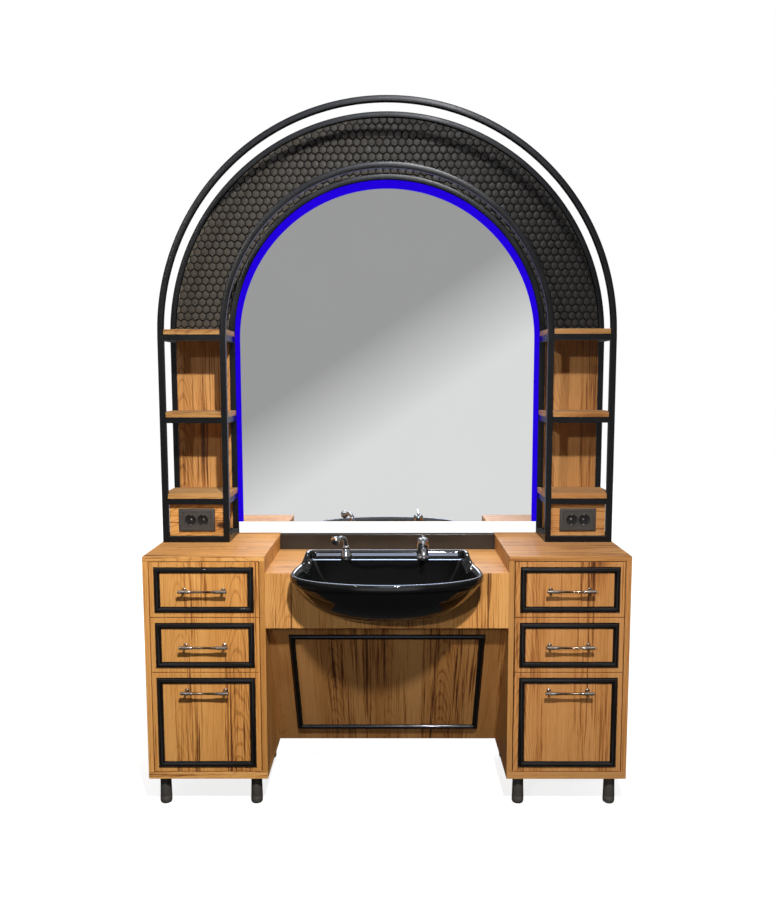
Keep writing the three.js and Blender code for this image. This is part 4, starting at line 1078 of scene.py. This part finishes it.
def arches():
    section = tube_section()
    for name, y in (("front", TOWER_FRONT + TUBE / 2), ("rear", TOWER_REAR - TUBE / 2)):
        for ring, radius in (("outer", TOWER_OUT - TUBE / 2), ("inner", TOWER_IN + TUBE / 2)):
            node = f"{name}_{ring}_arch"
            rings = [
                [at((radius + a) * c, y + b, SPRING + (radius + a) * s) for a, b in section]
                for c, s in HALF_RING
            ]
            tube = piece(f"{node}_tube", Shape().skin(rings), STEEL_BLACK, (node,))
            tube.visible_glossy = name != "front"


QUILT_PITCH, QUILT_ROW = 27.0, 25.6
QUILT_IN, QUILT_OUT = 579.9, 774.1
QUILT_LOW = 1608.4
QUILT_BOARD = (437.2, 447)
CELL_HALF, CELL_SHOULDER, CELL_TIP = QUILT_PITCH / 2, 8.2, 17.4
CELL_OVAL, CELL_CORNER = CELL_TIP * 0.82, 0.9
CELL_LEAST, CELL_FULL = 40, 600
# A cell's rings: their share of its width, of its height, and how far their corners are drawn in.
CELL_RINGS = ((1.0, 0.0, 0.0), (0.89, 0.02, 0.0), (0.86, 0.55, 0.0), (0.79, 0.91, 0.03), (0.5, 0.99, 0.08))


def on_quilt(x, z):
    """The nearest place on the half ring that the quilt covers."""
    z = max(z, QUILT_LOW)
    dz = z - SPRING
    r = hypot(x, dz)
    want = min(max(r, QUILT_IN), QUILT_OUT)
    if want != r:
        x, dz = x * want / r, dz * want / r
        if SPRING + dz < QUILT_LOW:
            dz = QUILT_LOW - SPRING
            x = copysign(sqrt(want * want - dz * dz), x)
    return x, SPRING + dz


def cell(shape, edge, area):
    """One padded cell over its edge; a cell that the ring cuts short is lower."""
    relief = QUILT_BACK - QUILT_CROWN
    count = len(edge)
    mx = sum(p[0] for p in edge) / count
    mz = sum(p[1] for p in edge) / count
    fullness = min(1.0, area / CELL_FULL)
    verts = []
    for scale, proud, roundness in CELL_RINGS:
        for px, pz in edge:
            dx, dz = (px - mx) * scale, (pz - mz) * scale
            reach = hypot(dx / CELL_HALF, dz / CELL_OVAL)
            pull = 1 - roundness * max(0.0, reach - scale * CELL_CORNER)
            verts.append(at(mx + dx * pull, QUILT_BACK - relief * proud * fullness, mz + dz * pull))
    verts.append(at(mx, QUILT_CROWN + relief * (1 - fullness), mz))
    faces = []
    for level in range(len(CELL_RINGS) - 1):
        a, b = level * count, (level + 1) * count
        faces += [(a + i, b + i, b + (i + 1) % count, a + (i + 1) % count) for i in range(count)]
    last = (len(CELL_RINGS) - 1) * count
    faces += [(last + i, len(verts) - 1, last + (i + 1) % count) for i in range(count)]
    shape.add(verts, faces)


def quilt():
    """Staggered hexagon cells, swelling out of the arch between its rear tubes."""
    half, shoulder, slope = CELL_HALF, CELL_SHOULDER, (CELL_SHOULDER + CELL_TIP) / 2
    outline = [(half, -shoulder), (half, 0), (half, shoulder)]
    outline += [(half / 2, slope), (0, CELL_TIP), (-half / 2, slope)]
    outline += [(-x, -z) for x, z in outline]
    shape = Shape()
    columns = int(QUILT_OUT / QUILT_PITCH) + 1
    for row in range(int((SPRING + QUILT_OUT - QUILT_LOW) / QUILT_ROW) + 2):
        cz = QUILT_LOW + 4 + row * QUILT_ROW
        for column in range(-columns, columns + 1):
            cx = (column + 0.5 * (row % 2)) * QUILT_PITCH
            if not QUILT_IN - half < hypot(cx, cz - SPRING) < QUILT_OUT + half:
                continue
            edge = [on_quilt(cx + x, cz + z) for x, z in outline]
            area = sum(a[0] * b[1] - b[0] * a[1] for a, b in zip(edge, edge[1:] + edge[:1])) / 2
            if area >= CELL_LEAST:
                cell(shape, edge, area)
    cover = piece("arch_quilt", shape, QUILT, ("arch_panel",), sharp=40)
    front, rear = QUILT_BOARD
    rings = []
    for c, s in HALF_RING:
        ring = []
        for r, y in ((QUILT_IN, front), (QUILT_OUT, front), (QUILT_OUT, rear), (QUILT_IN, rear)):
            z = max(SPRING + r * s, QUILT_LOW)
            x = copysign(sqrt(max(0.0, r**2 - (z - SPRING) ** 2)), c)
            ring.append(at(x, y, z))
        rings.append(ring)
    piece("arch_board", Shape().skin(rings), BACKING_AND_HOLE_SHADE)


LIGHT_OUT, LIGHT_IN = 558.2, 541.2
LIGHT_SECTION = [
    (LIGHT_IN, 446.9), (LIGHT_IN, 438), (LIGHT_IN + 1, 436), (LIGHT_IN + 3, 435.05),
    (LIGHT_OUT - 3, 435.05), (LIGHT_OUT - 1, 436), (LIGHT_OUT, 438), (LIGHT_OUT, 446.9),
]
MIRROR_SPRING = SPRING - 12
MIRROR_FOOT = 904
MIRROR_HALF = 540.9
# The glass's edge in depth and inset, from its rear to its ground front edge.
MIRROR_EDGE = ((446.9, 0.0), (438.2, 0.0), (437.0, 1.2))
BACKING = (0.1, 2.8)


def mirror():
    rings = []
    for y, inward in MIRROR_EDGE:
        half = MIRROR_HALF - inward
        crown = [at(half * c, y, MIRROR_SPRING + half * s) for c, s in HALF_RING]
        feet = [at(end * half, y, MIRROR_FOOT + inward) for end in (1, -1)]
        rings.append([feet[0]] + crown + [feet[1]])
    piece("mirror_glass", Shape().skin(rings), MIRROR, ("mirror",), sharp=20)
    backing = [[p + Vector((0, dy * MM, 0)) for p in rings[0]] for dy in BACKING]
    piece("mirror_backing", Shape().skin(backing), BACKING_AND_HOLE_SHADE)
    rings = [[at(r, y, MIRROR_FOOT) for r, y in LIGHT_SECTION]]
    for c, s in HALF_RING:
        ring = []
        for r, y in LIGHT_SECTION:
            spring = lerp(MIRROR_SPRING, SPRING, (r - LIGHT_IN) / (LIGHT_OUT - LIGHT_IN))
            ring.append(at(r * c, y, spring + r * s))
        rings.append(ring)
    rings.append([at(-r, y, MIRROR_FOOT) for r, y in LIGHT_SECTION])
    piece("mirror_light_diffuser", Shape().skin(rings), GLOW, ("mirror_light",))


# Stage

# Each lamp's name, place, aim, power, radius and cone in degrees.
KEY = ("key", Vector((0.36, -2.79, 3.43)), Vector((-0.9, -0.2, 0.3)), 715.0, 0.07, 80.0)
SECOND = ("second", Vector((-2.6, -6.2, 3.45)), Vector((0.85, 0.2, 1.3)), 530.0, 0.09, 30.0)


def lamp(name, place, aim, power, radius, cone):
    """A small ceiling spot with a soft cone."""
    data = bpy.data.lights.new(name, "SPOT")
    data.energy = power
    data.shadow_soft_size = radius
    data.spot_size = radians(cone)
    data.spot_blend = 1.0
    obj = add_object(name, data)
    obj.location = place
    obj.rotation_mode = "QUATERNION"
    obj.rotation_quaternion = (aim - place).to_track_quat("-Z", "Y")
    obj.visible_camera = False


FLOOR_REACH = 9.0
FLOOR_OTHERS, FLOOR_SEEN = 0.12, 0.5
FLOOR_NEAR_SHADE, FLOOR_FADE = 0.82, (0.95, 1.7)


def floor():
    """A floor that is white to the camera, dims a little near the object as painted shade, and keeps its
    shadow.
    """
    mesh = bpy.data.meshes.new("floor")
    mesh.from_pydata([(x * FLOOR_REACH, y * FLOOR_REACH, 0) for x, y in CORNERS], [], [(0, 1, 2, 3)])
    material = bpy.data.materials.new("pale_floor")
    material.use_nodes = True
    g = Graph(material.node_tree)
    g.tree.nodes.clear()
    seen = g.node("ShaderNodeLightPath")["Is Camera Ray"]
    place = g.node("ShaderNodeNewGeometry")["Position"]
    far = g.node("ShaderNodeVectorMath", [place], operation="LENGTH")["Value"]
    # Painted shade: the floor's white glow dims near the object, which also lets its cast shadow show there.
    fade = g.remap(far, *FLOOR_FADE, FLOOR_NEAR_SHADE, 1.0, LINEAR)
    shade = g.remap(seen, 0.0, 1.0, FLOOR_OTHERS, FLOOR_SEEN, LINEAR)
    diffuse = g.node("ShaderNodeBsdfDiffuse", {"Color": shade})[0]
    white = g.node("ShaderNodeEmission", {"Strength": g.times(fade, seen)})[0]
    both = g.node("ShaderNodeAddShader", (diffuse, white))[0]
    g.node("ShaderNodeOutputMaterial", {"Surface": both})
    mesh.materials.append(material)
    obj = add_object("floor", mesh)
    obj.visible_glossy = False


# The world's strengths, and where its parts begin and end: across and up are slopes from the y axis.
SKY_LIGHT, REAR_LIGHT, REAR_ENDS = 0.05, 0.8, (0.0, 0.25)
ROOM_DARK, ROOM_LIGHT, ROOM_ENDS = 0.04, 0.16, (-0.45, -0.2)
MIRROR_DARK, MIRROR_PALE, SLANT_ENDS = 0.3376, 0.742, (-0.046, 0.043)
SLANT_ACROSS, SLANT_UP = 0.4854, 0.7327
WINDOW_WIDE, WINDOW_TALL, AHEAD = (0.28, 0.55), (0.28, 0.5), (-0.2, 0.0)
CEILING_LIGHT, CEILING_ENDS = 1.3, (0.70, 0.92)
PANEL_LIGHT, PANEL_HUE = 11.0, (0.52, 0.66, 1.0)
PANEL_FOOT, PANEL_HEAD, PANEL_WIDE = (0.24, 0.29), (0.40, 0.50), (0.04, 0.17)
LEAST_DEPTH = 0.05
WHITE = (1.0, 1.0, 1.0)


def world():
    """White for the camera, a fill for other rays, and a dim room with lights for reflections."""
    place = bpy.data.worlds.new("studio")
    SCENE.world = place
    place.use_nodes = True
    g = Graph(place.node_tree)
    g.tree.nodes.clear()

    x, y, z = g.split(g.node("ShaderNodeTexCoord")["Generated"])
    depth = g.math("MAXIMUM", g.math("ABSOLUTE", y), LEAST_DEPTH)
    across, up = g.math("DIVIDE", x, depth), g.math("DIVIDE", z, depth)
    aside = g.math("ABSOLUTE", across)
    ahead = g.remap(y, *AHEAD, 1.0, 0.0, LINEAR)
    slant = g.math("SUBTRACT", g.times(across, SLANT_ACROSS), g.times(up, SLANT_UP))
    backdrop = g.remap(slant, *SLANT_ENDS, MIRROR_DARK, MIRROR_PALE, LINEAR)
    room = g.remap(up, *ROOM_ENDS, ROOM_DARK, ROOM_LIGHT)
    wide = g.remap(aside, *WINDOW_WIDE, 1.0, 0.0)
    tall = g.remap(g.math("ABSOLUTE", up), *WINDOW_TALL, 1.0, 0.0)
    window = {0: g.times(wide, tall, ahead), 2: room, 3: backdrop}
    shade = g.node("ShaderNodeMix", window, data_type="FLOAT")[0]
    foot = g.remap(up, *PANEL_FOOT, 0.0, 1.0, LINEAR)
    head = g.remap(up, *PANEL_HEAD, 1.0, 0.0, LINEAR)
    panel = g.times(foot, head, g.remap(aside, *PANEL_WIDE, 1.0, 0.0), ahead)
    overhead = g.remap(z, *CEILING_ENDS, 0.0, CEILING_LIGHT)
    level = g.math("ADD", shade, g.math("ADD", overhead, g.times(panel, PANEL_LIGHT)))

    def light(strength, colour=(*WHITE, 1.0)):
        return g.node("ShaderNodeBackground", {"Color": colour, "Strength": strength})[0]

    path = g.node("ShaderNodeLightPath")
    shown = light(g.remap(y, *REAR_ENDS, SKY_LIGHT, REAR_LIGHT))
    mirrored = light(level, g.mix(panel, WHITE, PANEL_HUE))
    shown = g.node("ShaderNodeMixShader", (path["Is Glossy Ray"], shown, mirrored))[0]
    seen = g.math("MAXIMUM", path["Is Camera Ray"], path["Is Transmission Ray"])
    shown = g.node("ShaderNodeMixShader", (seen, shown, light(1.0)))[0]
    g.node("ShaderNodeOutputWorld", {"Surface": shown})


CAMERA_PLACE = Vector((0.0158, -2.9043, 1.4383))
CAMERA_PITCH, CAMERA_YAW, CAMERA_ROLL = -0.1081, -0.0041, -0.0015
FOCAL_PIXELS = 870.17
PRINCIPAL_V = 472.7
IMAGE_HEIGHT = 900.0
SENSOR = 36.0


def camera():
    data = bpy.data.cameras.new("camera")
    data.sensor_fit = "AUTO"
    data.sensor_width = SENSOR
    data.lens = FOCAL_PIXELS * SENSOR / IMAGE_HEIGHT
    data.shift_y = (PRINCIPAL_V - IMAGE_HEIGHT / 2) / IMAGE_HEIGHT
    obj = add_object("camera", data)
    turn = Matrix.Rotation(-CAMERA_YAW, 4, "Z") @ Matrix.Rotation(pi / 2 + CAMERA_PITCH, 4, "X")
    obj.matrix_world = Matrix.Translation(CAMERA_PLACE) @ turn @ Matrix.Rotation(CAMERA_ROLL, 4, "Z")
    SCENE.camera = obj


camera()
for side_name, side_sign in SIDES.items():
    cabinet(side_name, side_sign)
    tower(side_name, side_sign)
wash_bay()
basin()
taps()
arches()
quilt()
mirror()
floor()
world()
lamp(*KEY)
lamp(*SECOND)
SCENE.view_settings.view_transform = "Standard"
